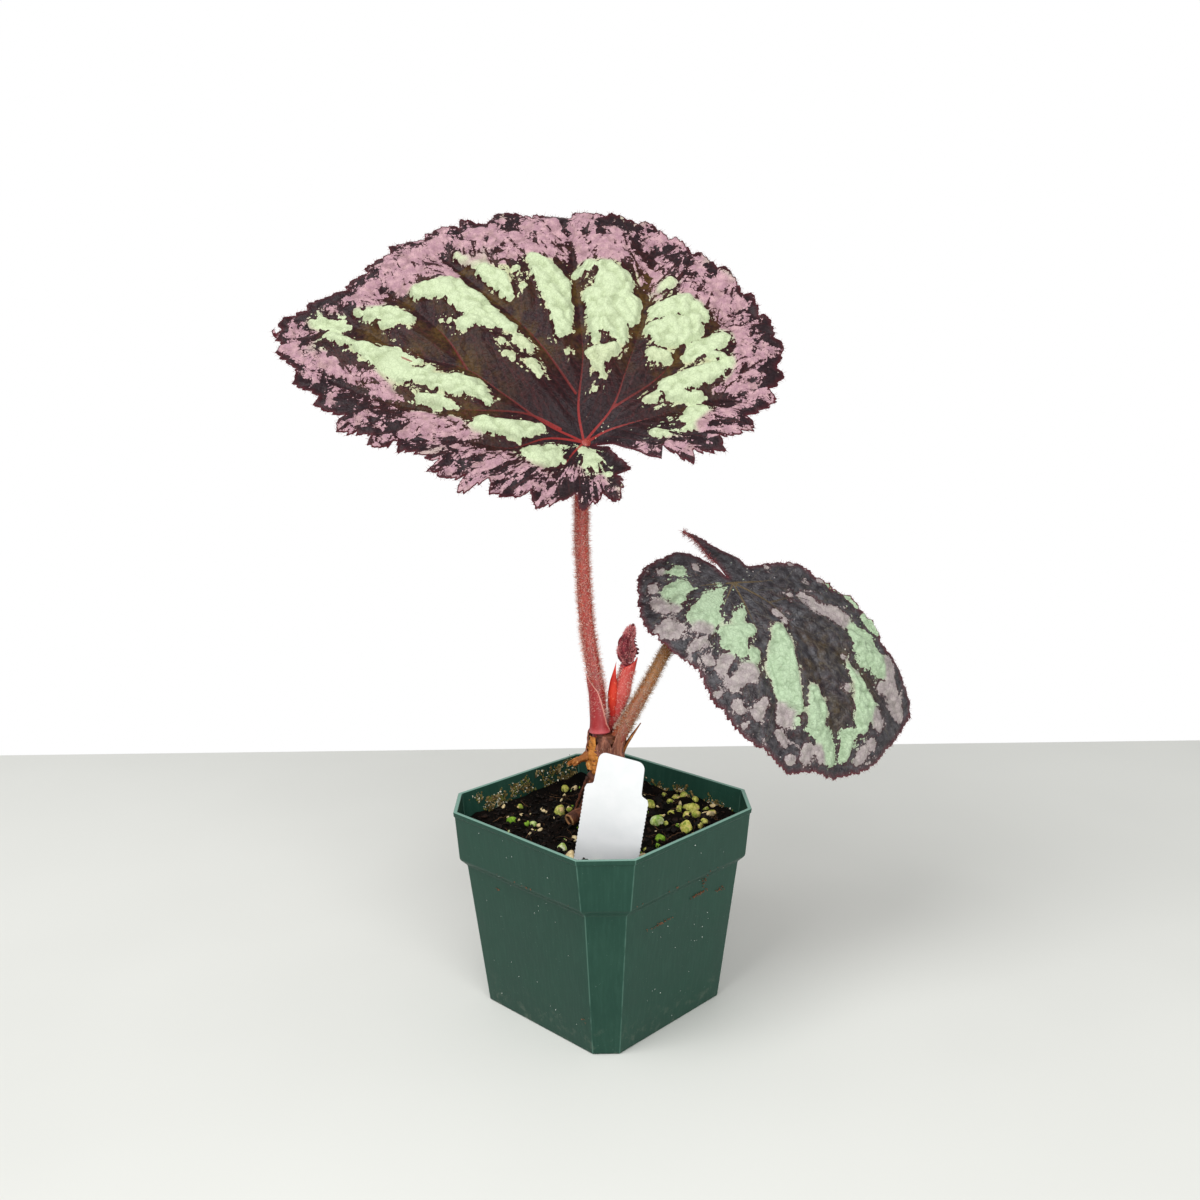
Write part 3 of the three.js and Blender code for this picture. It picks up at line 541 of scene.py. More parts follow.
class Noise:
    """Smooth and cellular noise on a plane or in space, the same for the same seed."""

    def __init__(self, seed):
        rng = np.random.default_rng(seed)
        self.table = rng.random((64, 64, 16))
        self.jitter = rng.random((64, 64, 2))

    def smooth(self, x, y, z=0.0, size=1.0):
        """From -1 to 1, with lumps about size across."""
        spot = [np.broadcast_to(v, np.shape(x)) / size for v in (x, y, z)]
        low = [np.floor(v).astype(int) for v in spot]
        part = [ease(v - f) for v, f in zip(spot, low)]
        total = 0.0
        for corner in np.ndindex(2, 2, 2):
            weight = 1.0
            for t, c in zip(part, corner):
                weight = weight * (t if c else 1 - t)
            i, j, k = (f + c for f, c in zip(low, corner))
            total = total + weight * self.table[i % 64, j % 64, k % 16]
        return 2 * total - 1

    def layers(self, x, y, z=0.0, size=1.0, count=4, keep=0.5):
        total, weight = 0.0, 0.0
        for k in range(count):
            shift = 17.3 * k
            total = total + keep**k * self.smooth(x + shift, y - shift, z, size / 2**k)
            weight += keep**k
        return total / weight

    def cells(self, x, y, size=1.0):
        """Distance to the nearest cell's middle."""
        x, y = np.asarray(x) / size, np.asarray(y) / size
        i, j = np.floor(x).astype(int), np.floor(y).astype(int)
        least = np.full(x.shape, 9.0)
        for di, dj in np.ndindex(3, 3):
            middle = self.jitter[(i + di - 1) % 64, (j + dj - 1) % 64]
            away = np.hypot(i + di - 1 + middle[..., 0] - x, j + dj - 1 + middle[..., 1] - y)
            least = np.minimum(least, away)
        return least


def frames(line):
    """A tangent and two normals at each point of a line, turning as little as they can."""
    tangent = unit(np.gradient(line, axis=0))
    side = np.cross(tangent[0], (0.0, 1.0, 0.02))
    sides = []
    for t in tangent:
        side = unit(side - t * (side @ t))
        sides.append(side)
    sides = np.array(sides)
    return tangent, sides, np.cross(tangent, sides)


def hoop(count):
    return np.linspace(0, 2 * np.pi, count, endpoint=False)


def ring_faces(rings, count):
    """Faces between rings of that many points."""
    sides = [(i, (i + 1) % count) for i in range(count)]
    starts = range(0, (rings - 1) * count, count)
    return [(k + i, k + j, k + j + count, k + i + count) for k in starts for i, j in sides]


def loft(rings, ends=None):
    """Points and faces of a closed body through rings of equally many points."""
    count, last = len(rings[0]), (len(rings) - 1) * len(rings[0])
    points = np.vstack([*rings, *(ends or (rings[0].mean(0), rings[-1].mean(0)))])
    foot, head = len(points) - 2, len(points) - 1
    faces = ring_faces(len(rings), count)
    for i in range(count):
        j = (i + 1) % count
        faces += [(foot, j, i), (head, last + i, last + j)]
    return points, faces


def tube(line, radius, sides=24):
    """Points and faces of a closed tube. radius is a number a point, or a grid of point by side."""
    line, radius = np.asarray(line, float), np.asarray(radius, float)
    _, across, over = frames(line)
    angle = hoop(sides)[None, :, None]
    ring = np.cos(angle) * across[:, None] + np.sin(angle) * over[:, None]
    reach = np.broadcast_to(radius[:, None] if radius.ndim == 1 else radius, (len(line), sides))
    return loft(list(line[:, None] + reach[..., None] * ring), (line[0], line[-1]))


def merged(parts):
    """Several (points, faces) pairs as one."""
    points, faces, start = [], [], 0
    for p, f in parts:
        points.append(np.asarray(p))
        faces.extend([tuple(i + start for i in face) for face in f])
        start += len(p)
    return np.vstack(points), faces


def hairs(roots, directions, lengths, width, rng):
    """Thin three-sided spikes, each bent once, rooted a little below the surface."""
    directions = unit(directions)
    lengths = np.broadcast_to(lengths, len(roots))[:, None]
    helper = np.where(np.abs(directions[:, 2:3]) < 0.9, [[0.0, 0.0, 1.0]], [[1.0, 0.0, 0.0]])
    u = unit(np.cross(directions, helper))
    v = np.cross(directions, u)
    swing = rng.normal(0, HAIR_BEND, (len(roots), 2))
    drift = (u * swing[:, :1] + v * swing[:, 1:]) * lengths
    points = np.zeros((len(roots), 7, 3))
    for level, (reach, size) in enumerate(((-0.1, 1.0), (0.55, 0.7))):
        middle = roots + directions * (reach * lengths) + drift * max(reach, 0) ** 2
        for k, angle in enumerate(hoop(3)):
            points[:, 3 * level + k] = middle + (u * math.cos(angle) + v * math.sin(angle)) * (width * size / 2)
    points[:, 6] = roots + directions * lengths + drift
    spike = [(2, 1, 0)]
    for k, m in ((0, 1), (1, 2), (2, 0)):
        spike += [(k, m, 3 + m, 3 + k), (3 + k, 3 + m, 6)]
    faces = [tuple(7 * n + i for i in face) for n in range(len(roots)) for face in spike]
    return points.reshape(-1, 3), faces


# ---- Blades ------------------------------------------------------------------------------------

BLADE_THICK = 0.72
FINE = 0.66  # between the points of the upper side
COARSE = 1.35  # between those of the underside
ROW = 0.866  # a row of a triangular grid, in its spacing
LINE_STEP = 0.2  # between the points by which the distance to a line is found


def funnel(x, y):
    """The large blade: a shallow funnel about its stalk."""
    reach = np.sqrt(x * x + y * y + 16) - 4
    return 11 * (1 - np.exp(-reach / 24)) - 7 * ((x * x + y * y) / 1e4)


def shell(x, y):
    """The small blade hangs over like a shell."""
    return bow(8, -28) - bow(x - 8, y + 28)


def bow(dx, dy):
    return (dx * dx + dy * dy) / 13.5**2


def plane_of(leaf):
    """The ways across, up along and out of a blade's plane."""
    spin, rise = math.radians(leaf["turn"]), math.radians(leaf["pitch"])
    across = np.array([math.cos(spin), math.sin(spin), 0])
    slope = np.array([-math.sin(spin) * math.cos(rise), math.cos(spin) * math.cos(rise), math.sin(rise)])
    return across, slope, np.cross(across, slope)


def tree_of(points):
    tree = KDTree(len(points))
    for i, point in enumerate(points):
        tree.insert((*point, 0)[:3], i)
    tree.balance()
    return tree


def find(tree, points):
    """The index of the nearest point in the tree, and its distance, for each point."""
    found = [tree.find((*point, 0)[:3]) for point in points]
    return np.array([f[1] for f in found]), np.array([f[2] for f in found])


def nearest(points, lines):
    """Each point's distance to the nearest line, and how far along that line it is, 0 to 1."""
    samples, along = [], []
    for line in lines:
        line = np.asarray(line, float)
        run = run_of(line)
        t = np.linspace(0, 1, max(2, int(run[-1] / LINE_STEP)))
        samples.append(np.column_stack([np.interp(t * run[-1], run, line[:, k]) for k in (0, 1)]))
        along.append(t)
    index, away = find(tree_of(np.vstack(samples)), points)
    return away, np.concatenate(along)[index]


def jittered_grid(low, high, spacing, amount, rng):
    """A triangular grid of points, each moved a little."""
    gx, gy = np.meshgrid(np.arange(low[0], high[0], spacing), np.arange(low[1], high[1], spacing * ROW))
    gx[1::2] += spacing / 2
    grid = np.column_stack([gx.ravel(), gy.ravel()])
    return grid + rng.uniform(-amount, amount, grid.shape) * spacing


def side_veins(veins, margin, rng):
    """Branches off both sides of each main vein, bending towards the edge until they meet something."""
    lines = []
    for line, length in veins:
        others = np.vstack([other for other, _ in veins if other is not line])
        heading = unit(np.gradient(line, axis=0))
        for side in (-1, 1):
            at = rng.uniform(7, 11)
            while at < length - 4:
                i = int((len(line) - 1) * at / length)
                angle = side * math.radians(rng.uniform(42, 58))
                turn = np.array([[math.cos(angle), -math.sin(angle)], [math.sin(angle), math.cos(angle)]])
                way = turn @ heading[i]
                path = [line[i]]
                for step in range(20):
                    way = unit(way + 0.05 * heading[i])
                    point = path[-1] + 1.4 * way
                    if np.hypot(*(margin - point).T).min() < 2.2:
                        break
                    path.append(point)
                    if step > 2 and np.hypot(*(others - point).T).min() < 1.6:
                        break
                if len(path) > 3:
                    lines.append(np.array(path))
                at += rng.uniform(6.0, 8.5)
    return lines


def notches(run, apex, pitch, spread, rng):
    """Saw teeth along the edge that lean towards the blade's tip: 0 at a tooth's point, 1 in a notch."""
    ends = [0.0]
    while ends[-1] < run[-1]:
        ends.append(ends[-1] + pitch * rng.uniform(1 - spread, 1 + spread))
    ends = np.array(ends)
    size = rng.uniform(0.6, 1.0, len(ends))
    k = np.clip(np.searchsorted(ends, run, side="right") - 1, 0, len(ends) - 2)
    t = (run - ends[k]) / (ends[k + 1] - ends[k])
    t = np.where(run > apex, 1 - t, t)
    long, short = np.maximum(0, 1 - t / 0.8) ** 1.35, np.maximum(0, (t - 0.8) / 0.2) ** 1.2
    return size[k] * np.where(t < 0.8, long, short)


def toothed(leaf, teeth, rng):
    """The blade's edge: its outline with saw teeth cut into it, then the two sides of its sinus."""
    outline = leaf["outline"]
    _, length = smooth_line(outline, 3)
    margin, _ = smooth_line(outline, int(length / 0.36))
    run = np.linspace(0, length, len(margin))
    apex = run[np.argmin(np.hypot(*(margin - outline[leaf["apex"]]).T))]
    ahead = unit(np.gradient(margin, axis=0))
    inward = np.column_stack([-ahead[:, 1], ahead[:, 0]])
    room = ease(np.hypot(*margin.T), 9, 24)
    bites = [depth * notches(run, apex, pitch, spread, rng) for pitch, depth, spread in teeth]
    cut = sum(bites) * leaf["bold"](*margin.T)
    shift = 0.32 * np.where(run > apex, -1, 1) * (cut.max() - cut)
    edge = margin + (inward * (cut - 0.25 * cut.max())[:, None] + ahead * shift[:, None]) * room[:, None]
    sinus = [outline[-1], *leaf["sinus"], outline[0]]
    steps = [np.linspace(a, b, max(2, int(math.dist(a, b) / 0.5)))[1:] for a, b in zip(sinus, sinus[1:])]
    closing = np.vstack(steps)[:-1]
    return np.vstack([edge, closing]), np.concatenate([cut / cut.max(), np.full(len(closing), 0.5)])


def sheet(edge, spacing, rng):
    """Triangles that fill the edge: their points, faces and the place of each edge point among them."""
    grid = jittered_grid(edge.min(0), edge.max(0), spacing, 0.13, rng)
    ahead = np.roll(edge, -1, axis=0) - np.roll(edge, 1, axis=0)
    index, away = find(tree_of(edge), grid)
    offset = grid - edge[index]
    inside = ahead[index, 0] * offset[:, 1] - ahead[index, 1] * offset[:, 0] > 0
    points = [Vector(p) for p in np.vstack([edge, grid[inside & (away > 0.55 * spacing)]])]
    count = len(edge)
    loop = [(i, (i + 1) % count) for i in range(count)]
    spots, _, faces, origin, _, _ = delaunay_2d_cdt(points, loop, [], 1, 1e-6)
    place = {k: i for i, sources in enumerate(origin) for k in sources}
    return np.array([tuple(s) for s in spots]), faces, [place[k] for k in range(count)]


def blotches(points, groups):
    """How deep each point lies inside the pale blotches, in mm, and how green and how cream it is there."""
    depth, weight, green, cream = np.zeros((4, len(points)))
    x, y = points.T
    for greenness, creaminess, strokes in groups:
        for stroke in strokes:
            for (x0, y0, r0), (x1, y1, r1) in zip(stroke, stroke[1:] or stroke):
                dx, dy = x1 - x0, y1 - y0
                t = np.clip(((x - x0) * dx + (y - y0) * dy) / max(dx * dx + dy * dy, 1e-9), 0, 1)
                inside = r0 + (r1 - r0) * t - np.hypot(x - x0 - t * dx, y - y0 - t * dy)
                depth += np.exp(np.clip(inside, -14, 12) / 0.6)
                near = np.exp(np.clip(inside, -14, 6) / 1.8)
                weight += near
                green += near * greenness
                cream += near * creaminess
    return 0.6 * np.log(depth + 1e-9), green / (weight + 1e-9), cream / (weight + 1e-9)


class Surface:
    """The blade's upper side as a function of the place in its plane, with what its colour needs."""

    def __init__(self, leaf, form, spots, edge, cut, extra, seed):
        rng = np.random.default_rng(seed + 90)
        self.leaf, self.form, self.spots, self.extra = leaf, form, spots, extra
        self.edge, self.cut = edge, cut
        self.noise = Noise(seed)
        veins = [smooth_line(vein, 80) for vein in leaf["veins"]]
        self.veins = [line for line, _ in veins]
        self.branches = side_veins(veins, edge[::4], rng)
        self.middles = jittered_grid(edge.min(0) - 4, edge.max(0) + 4, leaf["blister"], 0.3, rng)

    def at(self, plan):
        leaf, x, y = self.leaf, *plan.T

        def bumps(layer, size):
            return self.noise.smooth(x, y, layer, size)

        index, edge = find(tree_of(self.edge), plan)
        vein, along = nearest(plan, self.veins)
        branch, _ = nearest(plan, self.branches)
        ribs, _ = nearest(plan, leaf["veins"])
        depth, hue, cream = blotches(plan, self.spots)
        moved = np.column_stack([x + 1.1 * bumps(5, 2.8), y + 1.1 * bumps(9, 2.8)])
        first = find(tree_of(self.middles), moved)[1] / leaf["blister"]
        off = np.hypot(x, y)
        away = np.minimum(1, off / 25)
        clear = ease(vein, 0.3, 3.0)
        puff = ease(depth, -0.6, 1.6) * (0.4 + 0.6 * ease(hue, 0.2, 0.8))
        dark = leaf["dark_relief"] * ease(off, 12, 50)
        height = leaf["relief"] * (1 - np.exp(-((ribs / 7) ** 2)))
        height += (0.5 + 0.7 * puff) * (1 - np.exp(-((branch / 2.1) ** 2))) * clear
        height += (dark + 1.6 * puff) * np.clip(1 - (first / 0.62) ** 2, 0, 1) * clear
        height += 0.6 * puff - 0.4 * np.exp(-((vein / 0.6) ** 2)) * (1 - 0.6 * along)
        height += leaf["crease"] * self.noise.layers(x, y, 2, 3.2, 3, 0.6) * (1 - puff) * clear
        height = self.form(x, y) + height * away
        height += ease(edge, 10, 0) * leaf["ruffle"] * bumps(3, 8.5) + ease(edge, 5, 0) * 0.8 * bumps(8, 3.5)
        height -= ease(edge, 5, 0) * (1.5 * (1 - self.cut[index]) - 0.3) * leaf["bold"](x, y)
        if self.extra:
            height += self.extra(x, y, edge)
        turn = (np.arctan2(y, x) - math.radians(leaf["sinus_way"])) % (2 * math.pi)
        round_, out = leaf["flow"]
        none = np.zeros(len(x))
        marks = {
            "place": (x, y, none),
            "pattern": (depth, hue, cream),
            "flow": (round_ * turn + 1.6 * bumps(4, 9), out * off + 1.6 * bumps(6, 9), none),
            "bounds": (edge, along, vein),
            "net": (branch, off / 100, first),
        }
        marks = {key: np.column_stack(values) for key, values in marks.items()}
        return height, marks, (vein, along, branch, edge)


def blade(leaf, form, spots, teeth, paints, extra=None, seed=1):
    """The blade as one closed body. Returns its edge, and the ways out of and up from it."""
    rng = np.random.default_rng(seed)
    edge, cut = toothed(leaf, teeth, rng)
    surface = Surface(leaf, form, spots, edge, cut, extra, seed)
    across, slope, normal = plane_of(leaf)

    def lifted(plan, height):
        plan = np.column_stack([plan, height])
        return np.array(leaf["joint"]) + plan @ np.array([across, slope, normal])

    plan, faces, rim = sheet(edge, FINE, rng)
    height, marks, _ = surface.at(plan)
    over = lifted(plan, height)
    plan_under, faces_under, rim_under = sheet(edge, COARSE, rng)
    height, marks_under, (vein, along, branch, inner) = surface.at(plan_under)
    rib = 1.0 * np.exp(-((vein / (1.6 - 0.9 * along)) ** 2)) * (1 - 0.75 * along)
    rib += 0.2 * np.exp(-((branch / 0.8) ** 2))
    deep = BLADE_THICK - 0.35 * ease(inner, 3, 0) + rib * ease(inner, 0, 5)
    under = lifted(plan_under, height - deep)

    flipped = [tuple(i + len(plan) for i in reversed(f)) for f in faces_under]
    low = [i + len(plan) for i in rim_under]
    skirt = [(d, c, b, a) for a, b, c, d in zip(rim, rim[1:] + rim[:1], low[1:] + low[:1], low)]
    piece(
        leaf["name"] + "_blade", (np.vstack([over, under]), [*faces, *flipped, *skirt]), paints,
        leaf["name"], marks={key: np.vstack([marks[key], marks_under[key]]) for key in marks},
        face_slots=[0] * len(faces) + [1] * (len(flipped) + len(skirt)),
    )
    ahead = np.roll(edge, -1, axis=0) - np.roll(edge, 1, axis=0)
    return over[rim], np.outer(ahead[:, 1], across) - np.outer(ahead[:, 0], slope), normal


def upper_side(name, tones):
    p = Paint(name, tones["dark"], 0.45, tones["gloss"])
    deep, hue, cream, _ = p.marks("pattern")
    edge, along, vein, _ = p.marks("bounds")
    branch, reach, first, _ = p.marks("net")
    across, _, _, at = p.marks("place")
    flow = p.marks("flow")[3]

    # Where it is pale: the blotches, and near the edge a mottled band. Both break up into islands.
    lobe, apart, strength = tones["lobe"], tones["torn"], tones["wrinkle"]
    swell = p.noise(flow, tones["patch"], 3, 0.55, 0.3).step(0.3, 0.7, -1.0, 1.0)
    green = hue.step(0.25, 0.5)
    drawn = deep + swell * 0.7 + tones["spread"]
    band = swell * 3.8 - edge.step(*tones["band"], tones["sparse"], 6.0) - reach.step(0.34, 0.22, 0.0, 7.0)
    band = band - across.step(-48.0, -85.0, 0.0, tones["thin"]) - green * edge.step(12.0, 24.0, 1.0, 9.0)
    channel = vein.step(2.6, 0.4) | branch.step(0.7, 0.15, 0.0, 0.7)
    field = (drawn | band) - edge.step(5.0, 0.6, 0.0, tones["margin"]) - channel * tones["channel"]
    torn = field + p.noise(at, 0.75, 3, 0.6).step(0.3, 0.7, -0.7, 0.7)
    for base, scale, push, most, gap in ((flow, 0.3, 1.6, 1.7, 0.07), (at, 0.8, 0.7, 0.9, 0.1)):
        shifted = p.warped(base, scale * 1.6, push)
        torn = torn + p.cells(shifted, scale, "Color").step(0.2, 0.8, -most * apart, most * apart)
        torn = torn + p.cracks(shifted, scale).step(0.0, gap, -1.5, 0.0)
    beads = p.cells(at, 0.33).step(0.15, 0.75, lobe, -lobe) + p.cells(at, 1.1).step(0.1, 0.7, 0.3, -0.3)
    merge = (green | tones["smooth"]) * deep.step(-1.8, 0.2)
    depth = torn * (1.0 - merge) + (drawn + beads) * merge

    # Dark tissue: near black maroon, olive beside the veins half way out, redder at the edge, with a slate-grey
    # painted sheen and painted shade and highlights along its wrinkles.
    wrinkle = p.noise(at, tones["wrinkle_scale"], 4, 0.55)
    olive = p.noise(at, 0.1, 3).step(0.4, 0.58) * reach.step(0.25, 0.5) * edge.step(12.0, 24.0)
    # A slate-grey painted sheen, in cloudy patches towards the joint and stronger near the edge.
    painted_sheen = p.noise(flow, 0.16, 3).step(0.38, 0.62) * reach.step(*tones["painted_sheen_reach"], 0.9, 0.0)
    for tone, cover in (
        ("dark_warm", p.noise(at, 0.5, 4).step(0.35, 0.7)),
        ("olive", olive * vein.step(0.0, 9.0, 1.0, 0.25)),
        ("painted_sheen", painted_sheen | edge.step(16.0, 6.0, 0.0, 0.6)),
        # Painted shade in the hollows of the wrinkles, then a painted highlight on their ridges.
        ("deep", wrinkle.step(0.56, 0.4, 0.0, strength)),
        ("glint", wrinkle.step(0.56, 0.68, 0.0, strength * 0.5)),
        ("shore", edge.step(2.4, 0.4, 0.0, 0.7)),
        ("side_vein", branch.step(0.4, 0.1, 0.0, 0.4)),
        ("brink", depth.step(-1.2, -0.2, 0.0, 0.7)),
    ):
        p.coat(tones[tone], cover)
    dark = p.tone

    # Pale tissue: mauve, silver-green and cream, netted with fine veins, with painted shade in the creases
    # between its blisters.
    p.tone = tones["mauve"]
    p.coat(tones["mauve_pale"], p.noise(at, 0.35, 3).step(0.35, 0.7))
    p.coat(tones["green"], hue.step(0.15, 0.7))
    drip = deep.step(0.6, -0.8) * (green * edge.step(16.0, 26.0, 0.0, 0.8))
    p.coat(tones["cream"], cream.step(0.25, 0.8) | drip)
    p.coat(tones["pale_tint"], p.noise(at, 2.2, 3, 0.6).step(0.3, 0.75), "MULTIPLY")
    net = p.cracks(at, 0.62)
    p.coat(tones["net"], net.step(0.09, 0.0, 0.0, 0.28), "MULTIPLY")
    # Painted shade in the creases between the blisters.
    p.coat(tones["net"], first.step(0.4, 0.64, 0.0, 0.4), "MULTIPLY")

    # Small round pale dots on the dark, then the main veins, thinner towards the edge.
    allowed = field.step(-3.5, -0.6, 0.0, 1.0) | edge.step(18.0, 6.0, 0.0, 0.7)
    size = p.cells(at, 0.62, "Color").step(0.5, 1.0, 0.0, 0.34)
    dots = p.math("LESS_THAN", p.cells(at, 0.62), size * allowed)
    shown = (depth.step(-0.08, 0.08) | dots) * edge.step(0.25, 0.6)
    p.tone = p.mix(shown, dark, p.tone)
    inside = (vein - along.step(0.0, 0.7, tones["vein_half"], 0.05)).step(0.12, -0.1)
    red = p.mix(reach.step(0.04, 0.3), tones["vein"], tones["vein_out"])
    p.coat(red, inside * along.step(0.9, 0.3, 0.0, 0.85))
    p.coat(tones["rim"], edge.step(0.6, 0.15, 0.0, 0.8))
    p.set("Roughness", shown.step(0.0, 1.0, 0.36, 0.55))
    return p.done(wrinkle + net.step(0.0, 0.2) * 0.5, 0.45, tones["relief"])


def under_side(name, tones):
    p = Paint(name, tones["under"], 0.5, 0.4)
    deep, hue, _, _ = p.marks("pattern")
    edge, along, vein, _ = p.marks("bounds")
    branch, at = p.marks("net")[0], p.marks("place")[3]
    depth = deep + p.noise(at, 0.7, 4, 0.65).step(0.3, 0.7, -1.2, 1.2)
    net = p.cracks(at, 0.5)
    p.coat(tones["under_dark"], p.noise(at, 0.35, 4).step(0.3, 0.7))
    pale = p.mix(hue.step(0.3, 0.8), tones["under_mauve"], tones["under_green"])
    p.coat(pale, depth.step(-0.6, 0.6, 0.0, 0.75))
    p.coat(tones["under_vein"], net.step(0.1, 0.0, 0.0, 0.5))
    p.coat(tones["under_vein"], branch.step(0.8, 0.2, 0.0, 0.7))
    p.coat(tones["under_rib"], (vein - along.step(0.0, 0.9, 1.3, 0.35)).step(0.25, -0.2))
    p.coat(tones["rim"], edge.step(0.9, 0.2))
    return p.done(p.noise(at, 2.6, 3) + net.step(0.0, 0.2, 0.6, 0.0), 0.5, 0.0003)


def edge_hairs(rng, points, outward, normal, spacing, lengths, width=0.14, astray=0.35):
    """Rooted along the blade's edge, pointing out and a little up."""
    run = run_of(points)
    at = np.arange(spacing / 2, run[-1], spacing)
    at = at + rng.normal(0, spacing * 0.3, len(at))
    k = np.clip(np.searchsorted(run, at), 0, len(points) - 1)
    out = unit(outward[k])
    way = out + rng.normal(0, astray, out.shape) + 0.15 * normal
    return hairs(points[k] - 0.15 * normal, way, rng.uniform(*lengths, len(k)), width, rng)


# ---- Pot ---------------------------------------------------------------------------------------

MOULD_LINE = 0.08  # how far the seam on each corner stands out
ARC = 5  # steps round a corner
SEAM = [2, 3]  # those of them that the seam is on
SIDE = 10  # steps along a side
CORNER = 1.6 * math.tan(math.pi / 8)  # how far a corner's rounding reaches


def inset(level, by):
    z, half, cut = level
    return z, half - by, cut - by * (2 - math.sqrt(2))


def between(low, high, z):
    t = (z - low[0]) / (high[0] - low[0])
    return z, low[1] + t * (high[1] - low[1]), low[2] + t * (high[2] - low[2])


def turned(degrees, x, y):
    c, s = math.cos(math.radians(degrees)), math.sin(math.radians(degrees))
    return np.array([x * c - y * s, x * s + y * c])


def bow_of(start, corner, end, count):
    """Points on the short curve that rounds off a corner."""
    t = np.linspace(0, 1, count)[:, None]
    return (1 - t) ** 2 * start + 2 * t * (1 - t) * corner + t * t * end


def octagon(level, side=SIDE):
    """Points round the cut square at one level, its corners rounded."""
    z, half, cut = level
    corners = [turned(turn, half, y) for turn in (45, 135, 225, 315) for y in (cut - half, half - cut)]
    ring = []
    for k, corner in enumerate(corners):
        ahead = corners[(k + 1) % 8]
        start, end = (corner + unit(other - corner) * CORNER for other in (corners[k - 1], ahead))
        curve = bow_of(start, corner, end, ARC + 1)
        curve[SEAM] += MOULD_LINE * unit(corner)
        away = ahead + unit(corner - ahead) * CORNER
        ring += [*curve, *np.linspace(end, away, side + 1)[1:-1]]
    return np.column_stack([np.array(ring), np.full(len(ring), z)])


def rounded(profile, turns):
    """A profile of (z, half, cut) levels with each turn softened by a short curve of that size."""
    profile = np.array(profile, float)
    levels = []
    for k, size in enumerate(turns):
        here = profile[k]
        if size:
            ways = (profile[k - 1] - here, profile[k + 1] - here)
            start, end = (here + way * min(0.45, size / np.hypot(*way[:2])) for way in ways)
            levels += [*bow_of(start, here, end, 5)]
        else:
            levels.append(here)
    return levels


def pot(material):
    band = inset(RIM, BEAD_PROUD)
    foot = between(BAND_FOOT, band, RIM[0] - BEAD_HEIGHT)
    bead = (foot[0] + 0.3, *inset(foot, -BEAD_PROUD)[1:])
    floor_edge = between(BASE, BODY_TOP, FLOOR)
    profile = [(0, BASE[1] * 0.6, BASE[2] * 0.6), BASE, BODY_TOP, BAND_FOOT, foot, bead, RIM]
    profile += [inset(level, WALL) for level in (band, BAND_FOOT, BODY_TOP, floor_edge)]
    profile.append((FLOOR, floor_edge[1] * 0.6, floor_edge[2] * 0.6))
    turns = [0, 0.9, 0.8, 0.9, 0.25, 0.25, 0.35, 0.35, 0.8, 0.8, 1.2, 0]
    points, faces = loft([octagon(level) for level in rounded(profile, turns)])
    warp = Noise(5)
    x, y, z = points.T
    sway = 0.35 * warp.smooth(x, y, z, 34) * ease(z, 2, 60) + 0.08 * warp.smooth(x, y, z, 11) * ease(z, 2, 20)
    points[:, :2] += points[:, :2] * (sway / np.maximum(np.hypot(x, y), 1e-6))[:, None]
    # The seam points on the corners, painted paler: partly wear, partly a painted highlight.
    wear_and_highlight = tripled(np.isin(np.arange(len(points)) % (ARC + SIDE), SEAM))
    made = piece("pot_body", (points, faces), material, "pot", marks={"wear_and_highlight": wear_and_highlight})
    for turn in (0, 90, 180, 270):
        place = (*turned(turn, DRAIN_RING * MM, 0), 0)
        bpy.ops.mesh.primitive_cylinder_add(vertices=32, radius=DRAIN_RADIUS * MM, depth=8 * MM, location=place)
        drill = bpy.context.object
        cut = made.modifiers.new("drain", "BOOLEAN")
        cut.operation, cut.object = "DIFFERENCE", drill
        bpy.context.view_layer.update()
        graph = bpy.context.evaluated_depsgraph_get()
        mesh = bpy.data.meshes.new_from_object(made.evaluated_get(graph))
        made.modifiers.clear()
        made.data = mesh
        bpy.data.objects.remove(drill)
    index, _ = find(tree_of(points * MM), [vertex.co for vertex in made.data.vertices])
    made.data.attributes["wear_and_highlight"].data.foreach_set("vector", wear_and_highlight[index].astype(np.float32).ravel())
    made.data.polygons.foreach_set("use_smooth", [True] * len(made.data.polygons))
    made.data.set_sharp_from_angle(angle=math.radians(50))


def on_side(turn, along, z, out=0.0, inner=False):
    """A point on one of the pot's four broad sides, turn in degrees from +X."""
    spans = ((BASE, BODY_TOP), (BODY_TOP, BAND_FOOT), (BAND_FOOT, RIM))
    low, high = next(span for span in spans if z < span[1][0] or span[1] is RIM)
    half = between(low, high, z)[1] - (WALL + BEAD_PROUD if inner else 0) + out
    return *turned(turn, half, along), z


